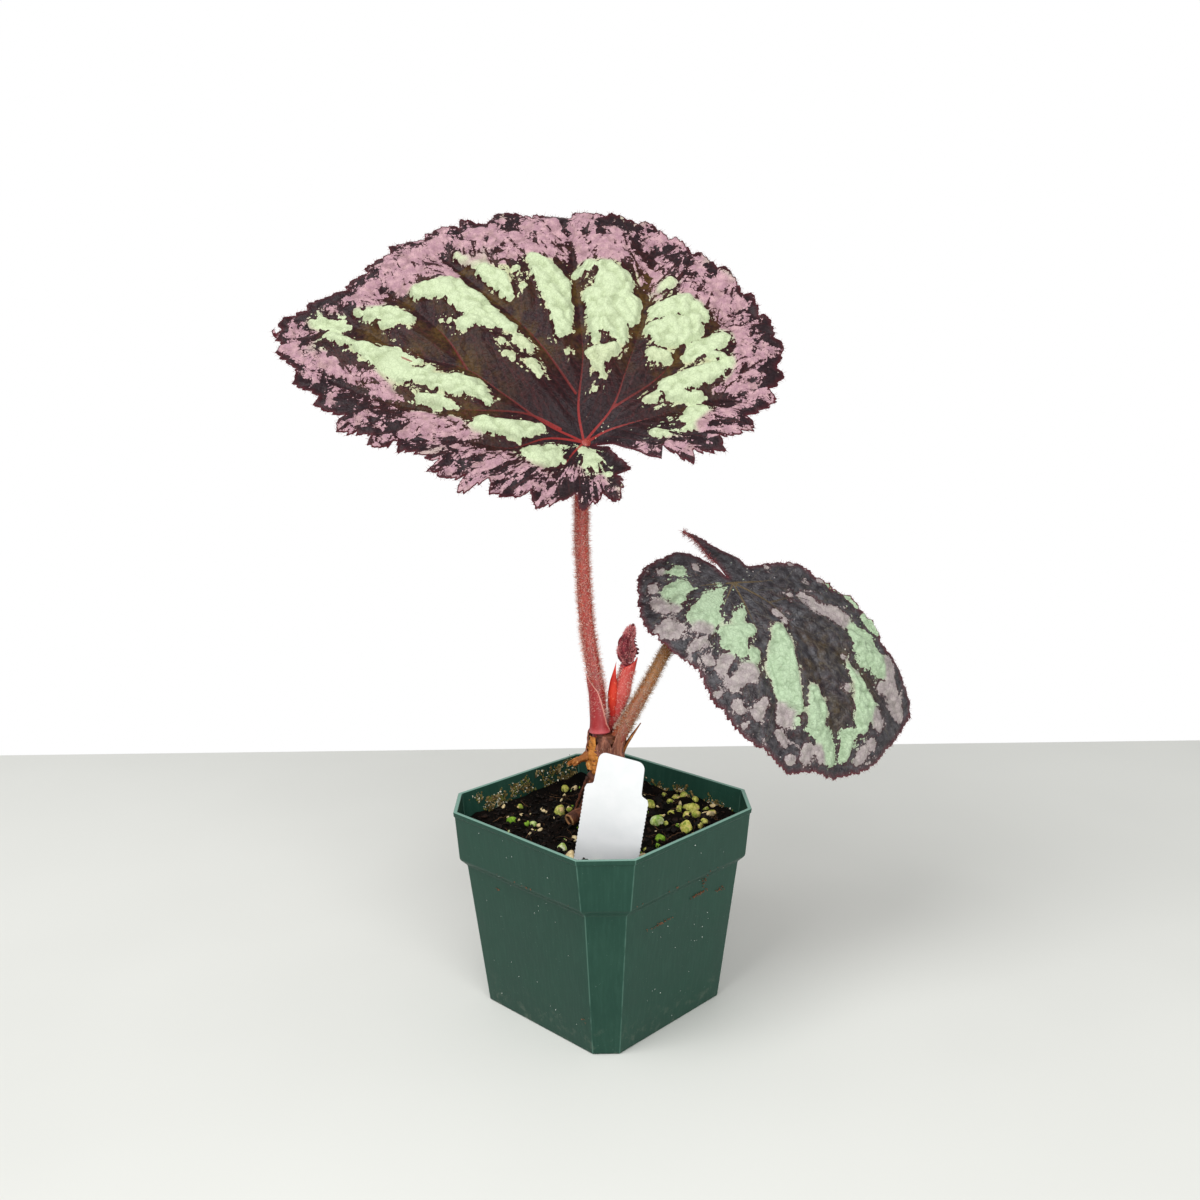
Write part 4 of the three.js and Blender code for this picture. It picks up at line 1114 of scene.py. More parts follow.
def pot_dirt(brown, white, tan, lime):
    """Crumbs and specks that stick to the pot, and a crust on its inner wall over the soil."""
    rng = np.random.default_rng(71)
    clusters = [  # side, place along it, height, spread along and in height, how many
        (-45, -13, 51, 8, 0.8, 46), (-45, 9, 56, 6, 1.2, 40), (-45, 23, 53, 3, 1.6, 22),
        (-45, 12, 61, 2, 2.5, 16), (-135, 27, 14, 1.2, 1.2, 8), (-135, -16, 57, 1.5, 0.6, 6),
        (45, 5, 40, 9, 6, 12), (135, -10, 48, 8, 9, 12), (-45, 0, 66, 24, 0.5, 10), (-135, 0, 66, 24, 0.5, 12),
    ]
    crumbs, specks, crust, pale = [], [], [], []
    for turn, along, z, wide, tall, count in clusters:
        for _ in range(count):
            place = on_side(turn, along + wide * rng.normal(0, 0.5), z + tall * rng.normal(0, 0.5), 0.05)
            crumbs.append(stone(rng, place, rng.uniform(0.12, 0.42)))
    for turn in (-45, -135, 45, 135):
        for _ in range(26):
            place = on_side(turn, rng.uniform(-26, 26), rng.uniform(3, 85), 0.03)
            specks.append(stone(rng, place, rng.uniform(0.1, 0.24)))
    for turn, low, high, top, clumps in ((135, -33, 26, 10, 30), (45, -30, 24, 5, 14), (-45, -25, 25, 2, 5)):
        middles = [(rng.uniform(low, high), top * rng.beta(0.9, 1.6)) for _ in range(clumps)]
        for _ in range(28 * clumps):
            along, rise = middles[rng.integers(clumps)]
            along, rise = along + rng.normal(0, 1.7), max(-1.0, rise + rng.normal(0, 1.1))
            place = on_side(turn, along, SOIL_LEVEL + rise, -0.1, inner=True)
            kind, least, most = (pale, 0.15, 0.6) if rng.random() < 0.25 else (crust, 0.2, 0.9)
            kind.append(stone(rng, place, rng.uniform(least, most)))
    for name, parts, paint, slot in (
        ("pot_crumbs", crumbs, brown, "pot"), ("pot_specks", specks, white, "pot"),
        ("wall_lime", pale, lime, "soil"), ("wall_crust", crust, tan, "soil"),
    ):
        piece(name, merged(parts), paint, smooth=False)


# ---- Soil --------------------------------------------------------------------------------------

SOIL_GAP = 0.35  # between the soil and the pot
SOIL_HALF = RIM[1] - 6  # what loose grains keep to, across the flats
SOIL_CORNER = 55  # and to the corners
CROWN_ROOM = 6.5  # about the rhizome
YELLOW_GRAINS = [
    (-17.6, 13.4, 2.9), (21.0, 20.8, 2.3), (34.0, -10.6, 2.5), (39.7, 6.2, 2.1), (38.4, 15.7, 2.6),
    (33.1, 16.8, 1.6), (36.5, 30.9, 1.6), (-16.0, 39.1, 1.5), (33.2, 31.0, 1.3), (44.9, 15.5, 1.3),
    (36.2, 8.4, 1.5), (42.5, -1.5, 1.4), (40.5, -5, 1.2), (47, 12.5, 1.4), (29.5, 24, 1.3), (41, 23.5, 1.4),
    (25, 9, 1.2), (28.5, 31.5, 1.2),
]
PALE_GRAINS = [(22.8, -2.1, 2.5), (-16.8, -26.8, 1.9), (39.7, -9.5, 1.5), (-29.0, 2.5, 1.3)]
GREEN_GRAINS = [(23.1, -16.0, 2.1), (-37.8, 4.2, 1.9), (31.1, -2.4, 0.8)]
CREAM_GRAINS = [
    (45.1, 7.7, 2.1), (48.0, 18.3, 1.2), (-13.8, -33.0, 1.9), (-25.6, 16.6, 0.8),
    (-28.9, -4.4, 0.8), (-26.5, -0.4, 0.8), (-42.7, 20.7, 1.0), (14.7, -36.0, 1.4),
]


def crumbly(x, y, noise):
    """The height of the soil's surface."""
    lumps = np.sin(x * 0.31 + 1) * np.cos(y * 0.27) + 0.6 * np.sin(x * 0.63 - y * 0.51)
    mound = SOIL_LEVEL + 0.9 * lumps + 1.6 * np.exp(-(x * x + y * y) / 300)
    rough = 1.6 * noise.layers(x, y, 1, 7, 4, 0.65) + 0.6 * noise.smooth(x, y, 3, 1.7)
    return mound + rough + 0.9 * (0.6 - noise.cells(x, y, 2.6))


def soil(material):
    noise = Noise(11)
    foot = (FLOOR + 0.3, *between(BASE, BODY_TOP, FLOOR)[1:])
    top = between(BAND_FOOT, inset(RIM, BEAD_PROUD), SOIL_LEVEL)
    *rings, rim = (octagon(inset(level, WALL + SOIL_GAP), 26) for level in (foot, BODY_TOP, BAND_FOOT, top))
    for scale in np.linspace(1, 0.02, 74):
        x, y = rim[:, 0] * scale, rim[:, 1] * scale
        rings.append(np.column_stack([x, y, crumbly(x, y, noise) + ease(scale, 0.93, 1.0)]))
    piece("soil_bed", loft(rings), material, "soil")


def stone(rng, middle, size, squash=(1, 1, 1), corners=9, rounds=0):
    """A small angular body: the hull of a few points on a ball, its corners worn if asked."""
    ball = unit(rng.normal(0, 1, (corners, 3)))
    mesh = bmesh.new()
    for point in ball * rng.uniform(0.8, 1.15, (corners, 1)):
        mesh.verts.new(point)
    grown = bmesh.ops.convex_hull(mesh, input=mesh.verts)
    loose = [g for g in grown["geom_interior"] if isinstance(g, bmesh.types.BMVert)]
    bmesh.ops.delete(mesh, geom=loose, context="VERTS")
    for _ in range(rounds):
        bmesh.ops.subdivide_edges(mesh, edges=mesh.edges, cuts=1, use_grid_fill=True)
        axes = {"use_axis_" + axis: True for axis in "xyz"}
        bmesh.ops.smooth_vert(mesh, verts=mesh.verts, factor=0.5, **axes)
    mesh.verts.ensure_lookup_table()
    mesh.verts.index_update()
    points = np.array([v.co for v in mesh.verts]) * np.array(squash)
    points *= size / np.abs(points).max()
    faces = [tuple(v.index for v in f.verts) for f in mesh.faces]
    mesh.free()
    turn = Matrix.Rotation(rng.uniform(0, 6.28), 3, "Z") @ Matrix.Rotation(rng.uniform(-0.9, 0.9), 3, "X")
    return points @ np.array(turn).T + np.array(middle), faces


def in_pot(x, y, room):
    return abs(x) + abs(y) < (SOIL_HALF - room) * math.sqrt(2) and max(abs(x), abs(y)) < SOIL_CORNER - room


def scatter(rng, count, room=1.5):
    spots = []
    while len(spots) < count:
        x, y = rng.uniform(-58, 58, 2)
        if in_pot(x, y, room) and math.hypot(x + 1, y - 1) > CROWN_ROOM:
            spots.append((x, y))
    return spots


def grains(paints):
    rng, noise = np.random.default_rng(21), Noise(11)
    for name, places, extra in (
        ("yellow", YELLOW_GRAINS, 16), ("pale", PALE_GRAINS, 10), ("green", GREEN_GRAINS, 12),
        ("cream", CREAM_GRAINS, 60),
    ):
        parts = []
        small = [(x, y, rng.uniform(0.4, 1.2)) for x, y in scatter(rng, extra)]
        for x, y, r in places + small:
            middle = (x, y, crumbly(x, y, noise) + 0.4 * r)
            flat = (1, rng.uniform(0.8, 1), rng.uniform(0.7, 0.95))
            parts.append(stone(rng, middle, 1.4 * r, flat, *((16, 2) if r > 1 else (10, 1))))
        piece("grains_" + name, merged(parts), paints[name])
    chips, fibres = [], []
    for x, y in scatter(rng, 1900):
        r = rng.uniform(0.35, 1.0) + 1.3 * rng.random() ** 5
        middle = (x, y, crumbly(x, y, noise) + 0.35 * r)
        chips.append(stone(rng, middle, r, (1, rng.uniform(0.5, 1), rng.uniform(0.4, 0.8))))
    piece("bark_bits", merged(chips), paints["bark"], smooth=False)
    for x, y in scatter(rng, 80, 4):
        turn = rng.uniform(0, 6.28)
        steps = rng.uniform(3, 9) * np.linspace(-0.5, 0.5, 7)
        sway = rng.normal(0, 0.3, 7).cumsum()
        xs = x + steps * math.cos(turn) + sway * math.sin(turn)
        ys = y + steps * math.sin(turn) - sway * math.cos(turn)
        zs = crumbly(xs, ys, noise) + 0.5 + rng.uniform(0, 0.05) * (20 - steps**2)
        fibres.append(tube(np.column_stack([xs, ys, zs]), np.full(7, rng.uniform(0.06, 0.13)), 5))
    piece("fibres", merged(fibres), paints["fibre"])


# ---- Rhizome, stalks and plates ----------------------------------------------------------------

STALK_POINTS, STALK_SIDES = 150, 28
FLARE = 2.2  # how soon a stalk has the radius of its top
CROWN_FOOT, CROWN_HEAD = np.array([0.6, 1.4, 96]), np.array([2.2, 2.0, 115])


def rhizome(material, cut_paint):
    noise, rng = Noise(31), np.random.default_rng(32)
    line, length = smooth_line([(-1, 1, 62), (-1, 1, 78), (0.6, 1.4, 96), (2.2, 2, 115.3)], 150)
    along, angle = np.meshgrid(np.linspace(0, 1, 150) * length, hoop(72), indexing="ij")
    x, y = np.cos(angle) * 6, np.sin(angle) * 6
    phase = 2 * np.pi * (along / length * 5 + 0.12 * noise.smooth(x, y, along, 7))
    radius = 6.3 + 0.45 * np.cos(phase) + 0.22 * np.cos(4 * phase) + 0.5 * noise.layers(x, y, along, 5, 4, 0.6)
    parts = [tube(line, radius * (1 - 0.16 * ease(along, length - 3.5, length)), 72)]
    for _ in range(16):
        turn, height = rng.uniform(0, 6.28), rng.uniform(20, length - 6)
        out = np.array([math.cos(turn), math.sin(turn), 0])
        way = out - (0, 0, rng.uniform(0.1, 0.9))
        base, reach = line[int(height / length * 149)] + out * 6.0, rng.uniform(1.2, 2.8)
        knob, _ = smooth_line([base, base + way * reach * 0.5, base + way * reach], 8)
        parts.append(tube(knob, np.linspace(0.9, 0.35, 8), 8))
    roots = [
        [(-6, 2, 90), (-9, 1.5, 82), (-11, 3, 73)], [(3, 4, 88), (8, 3, 81), (10.5, 2, 73)],
        [(-5, -3, 92), (-8, -5, 84), (-9.5, -6, 76)], [(-6, 0, 97), (-9.5, 0.5, 88), (-13, 1, 77)],
        [(4, -3, 90), (6.5, -5.5, 84), (8, -9, 77)], [(-2, -5, 93), (-4, -8, 86), (-5, -11, 77)],
    ]
    for k, points in enumerate(roots):
        root, _ = smooth_line(points, 26)
        root += np.column_stack([rng.normal(0, 0.12, 26), rng.normal(0, 0.12, 26), np.zeros(26)])
        thick = np.linspace(1.3, 0.8, 26) if k < 2 else np.linspace(0.7, 0.35, 26)
        parts.append(tube(root, thick * (1 + 0.15 * rng.normal(0, 1, 26)), 12))
    piece("rhizome_stem", merged(parts), material, "rhizome")

    stub, _ = smooth_line([(-3, 0, 84), (-9.5, -3, 82), (-13.6, -6.2, 80.6)], 30)
    along, angle = np.meshgrid(np.linspace(0, 9, 30), hoop(30), indexing="ij")
    uneven = 0.1 * noise.layers(np.cos(angle) * 3, np.sin(angle) * 3, along, 2, 3)
    radius = np.linspace(2.2, 2.75, 30)[:, None] * (1 + uneven)
    piece("rhizome_stub", tube(stub, radius, 30), material)
    ahead = unit(stub[-1] - stub[-2])
    right = unit(np.cross(ahead, (0, 0, 1.0)))
    c, s = np.cos(hoop(30)), np.sin(hoop(30))
    around = np.outer(c, right) + np.outer(s, np.cross(right, ahead))
    rings = []
    for reach, depth in ((2.75, -0.2), (2.55, 0.35), (2.1, 0.45), (1.7, 0.1), (1.2, -0.5), (0.6, -0.9)):
        deep = depth + 0.12 * noise.smooth(c * 2, s * 2, reach)
        rings.append(stub[-1] + reach * around + np.outer(deep, ahead))
    piece("rhizome_cut", loft(rings), cut_paint)


def head_of(leaf, form):
    """The last points of a stalk's middle line, square into the blade's underside."""
    across, slope, normal = plane_of(leaf)
    tilt = across * (form(-0.5, 0) - form(0.5, 0)) + slope * (form(0, -0.5) - form(0, 0.5))
    return [np.array(leaf["joint"]) - unit(normal + tilt) * below for below in (9, 0.8)]


def stalk(name, points, foot, top, material, slot, node, seed, *fur):
    """A leaf stalk, a little ridged and uneven, in its fur. Its radius runs from foot to top."""
    line, length = smooth_line(points, STALK_POINTS)
    t = np.linspace(0, 1, STALK_POINTS)
    radius = foot + (top - foot) * np.minimum(1, FLARE * t)
    along, angle = np.meshgrid(t * length, hoop(STALK_SIDES), indexing="ij")
    uneven = 0.05 * Noise(seed).smooth(np.cos(angle) * 2, np.sin(angle) * 2, along / 14)
    ridges = 0.018 * np.cos(5 * angle + 0.02 * along)
    piece(name, tube(line, radius[:, None] * (1 + uneven + ridges), STALK_SIDES), material, node)
    furred(name + "_hairs", line, radius, slot, seed + 1, *fur)


def furred(name, line, radius, slot, seed, material, density, lengths,
           span=(0.03, 0.98), width=0.17, lean=0.25):
    """Hairs round a line, that many a square millimetre."""
    rng = np.random.default_rng(seed)
    tangent, across, over = frames(line)
    count = int(density * run_of(line)[-1] * 2 * np.pi * radius.mean())
    at = rng.uniform(*span, count) * (len(line) - 1)
    k = at.astype(int)
    part = (at - k)[:, None]
    middle = line[k] * (1 - part) + line[np.minimum(k + 1, len(line) - 1)] * part
    angle = rng.uniform(0, 2 * np.pi, count)[:, None]
    out = np.cos(angle) * across[k] + np.sin(angle) * over[k]
    way = out + lean * tangent[k] + rng.normal(0, 0.25, out.shape)
    spikes = hairs(middle + out * radius[k][:, None], way, rng.uniform(*lengths, count), width, rng)
    piece(name, spikes, material)


def wrap(name, paint, node, curve, radius, half_angle, facing, thick, noise, ruffle,
         across=28, along=60, lip=None, hem=False):
    """A curved plate that wraps part of the way round a curve."""
    line, _ = smooth_line(curve, along + 1)
    tangent = unit(np.gradient(line, axis=0))
    right = unit(np.cross((0.0, 1.0, 0.0), tangent))
    v = np.linspace(0, 1, along + 1)[:, None]
    u = np.linspace(-1, 1, across + 1)[None, :]
    angle = np.radians(facing + u * half_angle(v))
    reach = radius(v, angle) + ruffle * noise.layers(np.cos(angle) * 4, np.sin(angle) * 4 + 9 * v, 3, 2.0, 3)
    if lip:
        reach = reach + lip(u, v)
    slim = thick * (0.35 + 0.65 * np.sqrt(np.maximum(0, 1 - u**6)))
    across_it, behind = right[:, None], np.cross(tangent, right)[:, None]
    way = np.cos(angle)[..., None] * across_it + np.sin(angle)[..., None] * behind
    inner, outer = (line[:, None] + far[..., None] * way for far in (reach, reach + slim))
    count = 2 * (across + 1)
    faces = ring_faces(along + 1, count)
    for i in range(across):
        end = np.array([i, i + 1, count - 2 - i, count - 1 - i])
        faces += [end[::-1], end + along * count]
    marks = {"wear_and_highlight": tripled(np.tile(np.abs(u[0]), 2 * (along + 1)))} if hem else None
    points = np.concatenate([outer, inner[:, ::-1]], axis=1).reshape(-1, 3)
    piece(name, (points, faces), paint, node, marks=marks)


def pointed(full, least=0):
    """How far a plate wraps that narrows to a point."""
    return lambda v: np.maximum(0.03, 1 - v**2) * full + least


# ---- Label -------------------------------------------------------------------------------------

LABEL_PLACE = (0.6, -40, 78.4)
LABEL_TURN, LABEL_LEAN = -20, 9.3  # degrees
LABEL_THICK = 0.5
NICKS = 42


def label_card(material):
    """The label: a narrower head with round corners over a card whose sides are finely nicked."""
    head, width, stake, waist, shoulder, top, corner = 18.3 / 2, 25.4 / 2, 36, -6, 28, 42, 3
    outline = [(0, -stake), (width, waist)]
    for k in range(1, NICKS):
        outline.append((width + (0.16 if k % 2 else -0.1), waist + k * (shoulder - 1.5 - waist) / NICKS))
    outline += [(width, shoulder - 1.5), (width - 0.5, shoulder - 0.2)]
    outline += [(head + 0.9, shoulder + 0.7), (head + 0.45, shoulder + 1.6)]
    for a in np.linspace(0, math.pi / 2, 9):
        outline.append((head - corner + corner * math.cos(a), top - corner + corner * math.sin(a)))
    outline += [(-x, z) for x, z in reversed(outline[1:])]
    count = len(outline)
    pose = Matrix.Translation(LABEL_PLACE) @ Matrix.Rotation(math.radians(LABEL_TURN), 4, "Z")
    pose = pose @ Matrix.Rotation(math.radians(LABEL_LEAN), 4, "Y")
    points = [pose @ Vector((x, y, z)) for y in (-LABEL_THICK / 2, LABEL_THICK / 2) for x, z in outline]
    faces = [face[::-1] for face in ring_faces(2, count)] + [range(count), range(2 * count - 1, count - 1, -1)]
    made = piece("label_card", (points, faces), material, "label", smooth=False)
    bevel = made.modifiers.new("edge", "BEVEL")
    bevel.width, bevel.segments = 0.08 * MM, 2


# ---- The plant ---------------------------------------------------------------------------------

BLADE_LOOKS = {  # of the large blade, then of the small one
    "dark": ((34, 17, 20), (46, 40, 44)),
    "dark_warm": ((54, 24, 26), (62, 48, 48)),
    # A slate-grey painted sheen on the dark tissue, and how far out from the joint it reaches.
    "olive": ((76, 54, 20), (74, 60, 36)),
    "painted_sheen": ((38, 32, 37), (70, 70, 74)),
    "painted_sheen_reach": ((0.05, 0.32), (0.3, 0.9)),
    "shore": ((62, 25, 31), (74, 36, 42)),
    "side_vein": ((76, 32, 33), (88, 82, 70)),
    "mauve": ((172, 133, 146), (160, 146, 148)),
    "mauve_pale": ((200, 161, 168), (182, 170, 168)),
    "cream": ((198, 196, 158), (190, 186, 166)),
    "green": ((199, 211, 175), (178, 198, 166)),
    "pale_tint": ((228, 232, 228), (228, 234, 230)),
    # The fine veins' tone, which also darkens the creases between the blisters as painted shade.
    "net": ((178, 180, 164), (180, 186, 176)),
    "vein_half": (0.5, 0.4),
    "vein": ((146, 46, 44), (96, 80, 52)),
    "vein_out": ((92, 34, 32), (54, 46, 42)),
    "rim": ((84, 28, 37), (100, 40, 48)),
    "band": ((17.0, 32.0), (8.0, 18.0)),
    "thin": (0.7, 0.0),
    "sparse": (-0.9, 2.6),
    "patch": (0.11, 0.15),
    "lobe": (0.9, 0.6),
    "spread": (0.5, 0.9),
    "torn": (1.0, 0.5),
    "gloss": (0.14, 0.32),
    "brink": ((62, 24, 26), (66, 30, 34)),
    "smooth": (0.0, 0.85),
    "margin": (1.7, 1.2),
    "channel": (3.2, 0.0),
    # How strong the painted shade and highlight along the wrinkles are, and the wrinkles' scale.
    "wrinkle": (0.5, 0.7),
    "wrinkle_scale": (0.6, 0.3),
    "relief": (0.0003, 0.0008),
    # The painted shade in the wrinkles' hollows and the painted highlight on their ridges.
    "deep": ((24, 11, 14), (26, 20, 25)),
    "glint": ((66, 46, 50), (98, 96, 101)),
    "under": ((122, 46, 52), (122, 56, 56)),
    "under_dark": ((92, 34, 40), (92, 40, 42)),
    "under_mauve": ((150, 84, 88), (150, 92, 92)),
    "under_green": ((150, 120, 96), (150, 126, 100)),
    "under_vein": ((150, 70, 66), (150, 78, 70)),
    "under_rib": ((178, 84, 72), (176, 96, 78)),
}


CURL = [(13, -31), (17, -22), (14.5, -14), (10, -6.5)]


def curled(x, y, edge):
    """The large blade's curl beside its sinus, and the waves of its lower lobe."""
    near, _ = nearest(np.column_stack([x, y]), [CURL])
    lobes = np.exp(-(((y + 26) / 12) ** 2)) * ease(-x, 4, 30) * ease(edge, 9, 0)
    return 2.6 * np.exp(-((near / 4.5) ** 2)) + lobes * 1.6 * np.sin(x / 3.4)


def grown_blade(leaf, k, form, spots, teeth, seed, spacing, lengths, extra=None):
    """A grown blade with hairs along its edge. Returns what more hairs there need."""
    name = ("large", "small")[k]
    look = {key: values[k] for key, values in BLADE_LOOKS.items()}
    paints = [upper_side(name + "_upper", look), under_side(name + "_under", look)]
    edge = blade(leaf, form, spots, teeth, paints, extra, seed)
    rng = np.random.default_rng(33 + k)
    piece(name + "_blade_hairs", edge_hairs(rng, *edge, spacing, lengths), HAIR_RED)
    return rng, *edge


def grown_blades():
    spots = [(1.0, 0.0, LARGE_GREEN), (0.75, 0.45, LARGE_CREAM), (0.0, 0.0, LARGE_MAUVE)]
    teeth = [(15, 5.6, 0.25), (4.2, 1.7, 0.3), (1.7, 0.6, 0.4)]
    grown_blade(LARGE, 0, funnel, spots, teeth, 3, 1.0, (0.7, 1.7), curled)
    spots = [(1.0, 0.0, SMALL_GREEN), (0.0, 0.0, SMALL_MAUVE)]
    teeth = [(21, 1.4, 0.15), (5.2, 1.0, 0.3), (2.1, 0.85, 0.4)]
    rng, rim, outward, normal = grown_blade(SMALL, 1, shell, spots, teeth, 7, 1.1, (0.6, 1.4))
    standing = slice(-72, -26)  # the edge of the lobe that stands up behind the joint
    fringe = edge_hairs(rng, rim[standing], outward[standing], normal, 0.07, (0.8, 3.0), 0.2, 0.6)
    paint = plain_paint("hair_fringe", (122, 48, 54), 0.5, 0.4, (196, 120, 118), 900)
    piece("small_lobe_fringe", fringe, paint)


def stalks():
    tones = [(108, (122, 24, 30)), (128, (138, 32, 30)), (165, (154, 48, 36))]
    tones += [(205, (162, 58, 46)), (235, (146, 50, 42))]
    red = stalk_paint("large_stalk", tones, (196, 104, 84), (206, 140, 116))
    tones = [(110, (136, 58, 48)), (122, (134, 68, 38)), (145, (144, 92, 30)), (172, (142, 90, 32))]
    olive = stalk_paint("small_stalk", tones, (164, 112, 50), (178, 128, 82))
    tones = [(112, (170, 60, 52)), (128, (190, 62, 62)), (143, (150, 40, 52))]
    pink = stalk_paint("shoot_stalk", tones, (216, 110, 100), (226, 150, 140))
    stalk(
        "large_stalk", LARGE_STALK + head_of(LARGE, funnel), 3.15, 2.75, red, "large_stalk", "stalk_large", 41,
        HAIR_PINK, 3.0, (0.7, 2.2), (0.08, 0.985),
    )
    stalk(
        "small_stalk", SMALL_STALK + head_of(SMALL, shell), 3.1, 2.3, olive, "small_stalk", "stalk_small", 43,
        HAIR_PALE, 3.2, (0.8, 2.0), (0.03, 0.985),
    )
    stalk("shoot_stalk", SHOOT_STALK, 2.3, 1.7, pink, "shoot", "shoot_stalk", 45, HAIR_PINK, 1.2, (0.6, 1.3))


def sheaths():
    noise = Noise(51)
    # The pale pink at the sheath's foot is a painted highlight, and so is the pale hem along its edge.
    tones = [(115.9, (202, 92, 98)), (119, (150, 28, 32)), (132, (142, 27, 30)), (141, (156, 44, 38))]
    wrap(
        "stalk_sheath", stalk_paint("sheath_skin", tones, (178, 66, 64), (198, 104, 96), (232, 166, 150)),
        "stalk_sheath", [(-0.9, 1.2, 115.9), (-1.1, 2, 124), (-1.6, 3, 131.6), (-3, 4.4, 140)],
        lambda v, a: 3.45 - 0.4 * v + 0.3 * np.exp(-((v / 0.12) ** 2)),
        lambda v: np.interp(v, [0, 0.15, 0.7, 1], [150, 112, 66, 2]), -150, 0.5, noise, 0.12,
        lip=lambda u, v: 0.5 * np.maximum(u, 0) ** 8, hem=True,
    )
    tones = [(114, (150, 40, 42)), (124, (180, 62, 60)), (134, (188, 70, 62)), (147, (184, 46, 38))]
    curve = [(4.8, 6.9, 115.5), (5.9, 6.8, 123), (7.6, 6.4, 130.3), (10.0, 5.9, 138.4)]
    wrap(
        "shoot_sheath", stalk_paint("shoot_skin", tones, (212, 110, 100), (226, 150, 138), (210, 50, 36)),
        "shoot_sheath", [*curve, (11.3, 5.7, 142.4), (13, 5.6, 147)],
        lambda v, a: np.interp(v, [0, 0.25, 0.5, 0.72, 0.85, 1], [2.6, 3.2, 3.7, 2.7, 2.5, 1.7]),
        lambda v: np.interp(v, [0, 0.7, 0.84, 0.94, 1], [170, 165, 118, 42, 2]),
        -12, 0.45, noise, 0.3, hem=True,
    )
    line, _ = smooth_line([(5.4, 6.8, 119), (7.6, 6.4, 130.3), (10.1, 5.9, 138.4), (11.4, 5.7, 142)], 60)
    reach = np.interp(np.linspace(0, 1, 60), [0, 0.45, 1], [3.2, 4.0, 2.6])
    furred("shoot_sheath_hairs", line, reach, "shoot", 47, HAIR_PINK, 2.6, (0.6, 1.6))
    wrap(
        "shoot_stipule", bark_paint("stipule_skin", (168, 26, 18), (206, 56, 32), (232, 120, 88), 0.5),
        "shoot_stipule", [(4.4, 4.4, 122), (4.6, 3.9, 130), (5.2, 3.8, 136.5), (6.3, 3.9, 145)],
        lambda v, a: np.interp(v, [0, 0.35, 0.65, 1], [1.2, 1.7, 1.4, 0.3]),
        pointed(110), -110, 0.4, noise, 0.15,
    )


def crown_line(low, high):
    """A line up the middle of the crown, from one height to another."""
    rise = CROWN_HEAD - CROWN_FOOT
    return [CROWN_FOOT + rise * (z - CROWN_FOOT[2]) / rise[2] for z in (low, (low + high) / 2, high)]


def dry_tissue():
    noise = Noise(51)
    husk = bark_paint("crown_skin", (78, 36, 28), (168, 106, 82), (236, 192, 164), 3.0, 0.12)
    gold = bark_paint("papery_skin", (150, 84, 28), (202, 132, 54), (236, 190, 116), 0.8, 0.3)
    horn = bark_paint("dry_skin", (104, 52, 18), (172, 104, 42), (226, 168, 92), 0.8, 0.4)
    scales = [  # facing, from and to which height, how far round
        (-100, 104, 115.5, 30), (-52, 103, 117, 24), (-14, 105, 118, 26), (40, 104, 117, 46),
        (150, 102, 116, 50), (-76, 98, 108, 34), (95, 97, 110, 50), (-30, 98, 108, 26),
    ]
    for k, (facing, low, high, wide) in enumerate(scales):
        wrap(
            f"crown_scale_{k}", husk, None, crown_line(low, high),
            lambda v, a: 6.7 + 0.16 * k + 0.5 * np.sin(math.pi * v) + 0.22 * np.cos(11 * a),
            pointed(wide, 6), facing, 0.45, noise, 0.5,
        )
    wrap(
        "papery_scale", gold, "papery_scale",
        [(1.7, 1.8, 108.9), (2, 1.9, 111.5), (2.2, 2, 114.2)],
        lambda v, a: 7.1 + 0.15 * np.sin(9 * a + 8 * v), lambda v: 26 - 11 * v, -150, 0.45, noise, 0.25,
    )
    flakes = [(-148, 100.5, 109.5, 30, 0.9), (-118, 99, 107, 20, 0.7)]  # the same, and how far it stands out
    for k, (facing, low, high, wide, proud) in enumerate(flakes):
        wrap(
            f"papery_flake_{k}", gold, None, crown_line(low, high),
            lambda v, a: 6.6 + proud + 0.3 * np.sin(9 * a + 8 * v),
            lambda v: wide * (0.6 + 0.4 * np.sin(14 * v) ** 2), facing, 0.4, noise, 0.6,
        )
    wrap(
        "dry_scale", horn, "dry_scale", [(7.7, 0.6, 108.2), (10.5, 0.4, 113.5), (14.7, 1, 120.4)],
        lambda v, a: 1.2 + 0 * a, pointed(75), 0, 0.5, noise, 0.15,
    )
    stub, _ = smooth_line([(-4.4, 0.3, 106.2), (-8.6, -0.4, 105), (-12.2, -1, 102.8)], 40)
    along, angle = np.meshgrid(np.linspace(0, 1, 40), hoop(24), indexing="ij")
    radius = 2.1 - 1.2 * along + 0.3 * np.sin(9 * along)
    radius *= 1 + 0.34 * noise.layers(np.cos(angle) * 3, np.sin(angle) * 3, along * 5, 1.6, 3)
    radius *= 1 + 0.16 * np.sin(5 * angle + 3 * along)
    piece("dead_stalk", tube(stub, radius, 24), horn, "dead_stalk")
    wrap(
        "dead_stalk_flap", horn, None,
        [(-8.2, -0.7, 104.6), (-11, -1, 103.4), (-13.6, -1.2, 101.8)],
        lambda v, a: 1.3 + 0.4 * np.sin(6 * a), lambda v: 75 - 40 * v, 60, 0.3, noise, 0.5,
    )


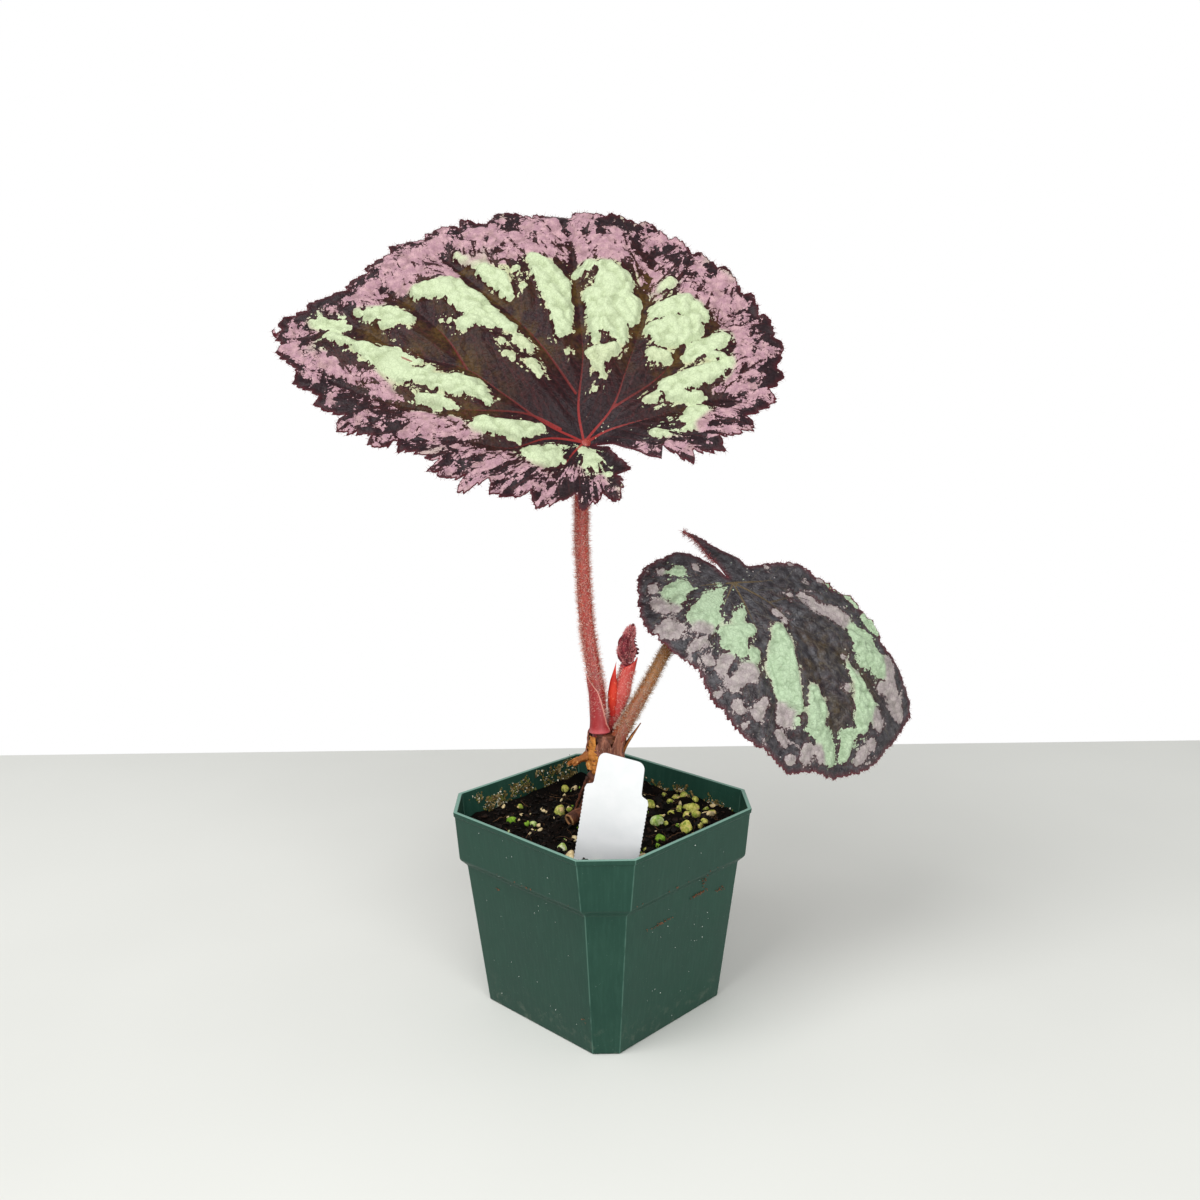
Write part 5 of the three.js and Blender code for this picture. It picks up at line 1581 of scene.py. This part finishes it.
def young_leaf():
    curve = [(11.0, 5.3, 143.7), (10.4, 4.8, 148.5), (11.0, 4.7, 154), (13.2, 4.8, 160.6)]

    def width(v, a):
        full = np.interp(v, [0, 0.12, 0.28, 0.45, 0.7, 0.88, 1], [2.0, 2.9, 3.6, 3.5, 2.3, 1.0, 0.12])
        pleats = 1 + 0.12 * np.sin(7 * a + 9 * v) + 0.1 * np.sin(3 * a - 14 * v)
        return full * pleats - 0.5

    def lip(u, v):
        teeth = 0.6 + 0.4 * np.sign(np.sin(70 * v + 3 * np.sin(9 * v)))
        return 1.5 * np.abs(u) ** 9 * teeth * np.sin(math.pi * v) ** 0.5

    wrap(
        "young_leaf", bark_paint("young_skin", (66, 12, 22), (124, 30, 42), (186, 76, 84), 1.4),
        "shoot_leaf", curve, width, lambda v: 146 + 0 * v,
        130, 0.5, Noise(61), 0.6, 84, 110, lip,
    )
    line, _ = smooth_line(curve, 60)
    radius = width(np.linspace(0, 1, 60), 0) * 0.95 + 0.3
    fur = (HAIR_ROSE, 13.0, (0.5, 1.4), (0.0, 0.93), 0.18, 1.1)
    furred("young_leaf_hairs", line, radius, "young_blade", 62, *fur)


def floor():
    mesh = bpy.data.meshes.new("floor")
    low, high, front, back = (v * MM for v in (-FLOOR_HALF, FLOOR_HALF, FLOOR_FRONT, FLOOR_BACK))
    corners = [(low, front, 0), (high, front, 0), (high, back, 0), (low, back, 0)]
    mesh.from_pydata(corners, [], [(0, 1, 2, 3)])
    mesh.materials.append(plain_paint("floor_paint", (224, 225, 220), 0.6, 0.2, (230, 231, 226), 3))
    put("floor", mesh)


camera()
studio()
HAIR_RED = plain_paint("hair_red", (124, 44, 54), 0.5, 0.4, (160, 80, 84))
HAIR_PINK = plain_paint("hair_pink", (232, 162, 148), 0.45, 0.5, (250, 220, 206))
HAIR_ROSE = plain_paint("hair_rose", (206, 92, 100), 0.5, 0.4, (244, 176, 172), 1100)
HAIR_PALE = plain_paint("hair_pale", (204, 176, 150), 0.45, 0.5, (226, 206, 186))
grown_blades()
stalks()
sheaths()
dry_tissue()
young_leaf()
rhizome(
    bark_paint("rhizome_bark", (52, 25, 15), (112, 60, 36), (184, 126, 80)),
    bark_paint("rhizome_cut_face", (150, 104, 66), (192, 148, 100), (214, 180, 136)),
)
soil(soil_paint())
grains({
    "yellow": grain_paint("grain_yellow", (158, 156, 62), (206, 202, 112), (112, 136, 44), (222, 188, 138)),
    "pale": grain_paint("grain_pale", (158, 182, 84), (206, 216, 160), (120, 160, 56), (232, 234, 208)),
    "green": grain_paint("grain_green", (96, 140, 34), (140, 176, 58)),
    "cream": grain_paint("grain_cream", (196, 172, 124), (224, 206, 162)),
    "bark": grain_paint("bark_chip", (6, 4, 3), (18, 11, 8), (42, 26, 17)),
    "fibre": grain_paint("fibre", (70, 46, 30), (110, 80, 54)),
})
pot(pot_plastic())
pot_dirt(
    bark_paint("dried_dirt", (84, 52, 34), (120, 80, 54), (150, 112, 80)),
    plain_paint("lime_speck", (206, 214, 206), 0.6, 0.3),
    grain_paint("wall_moss", (72, 62, 34), (128, 108, 64), (88, 96, 38), (176, 156, 112)),
    plain_paint("wall_lime", (196, 190, 166), 0.7, 0.2, (226, 222, 204)),
)
label_card(plain_paint("label_plastic", (226, 227, 228), 0.45, 0.3, (220, 222, 223), 120))
floor()

bpy.context.scene.view_settings.view_transform = "Standard"
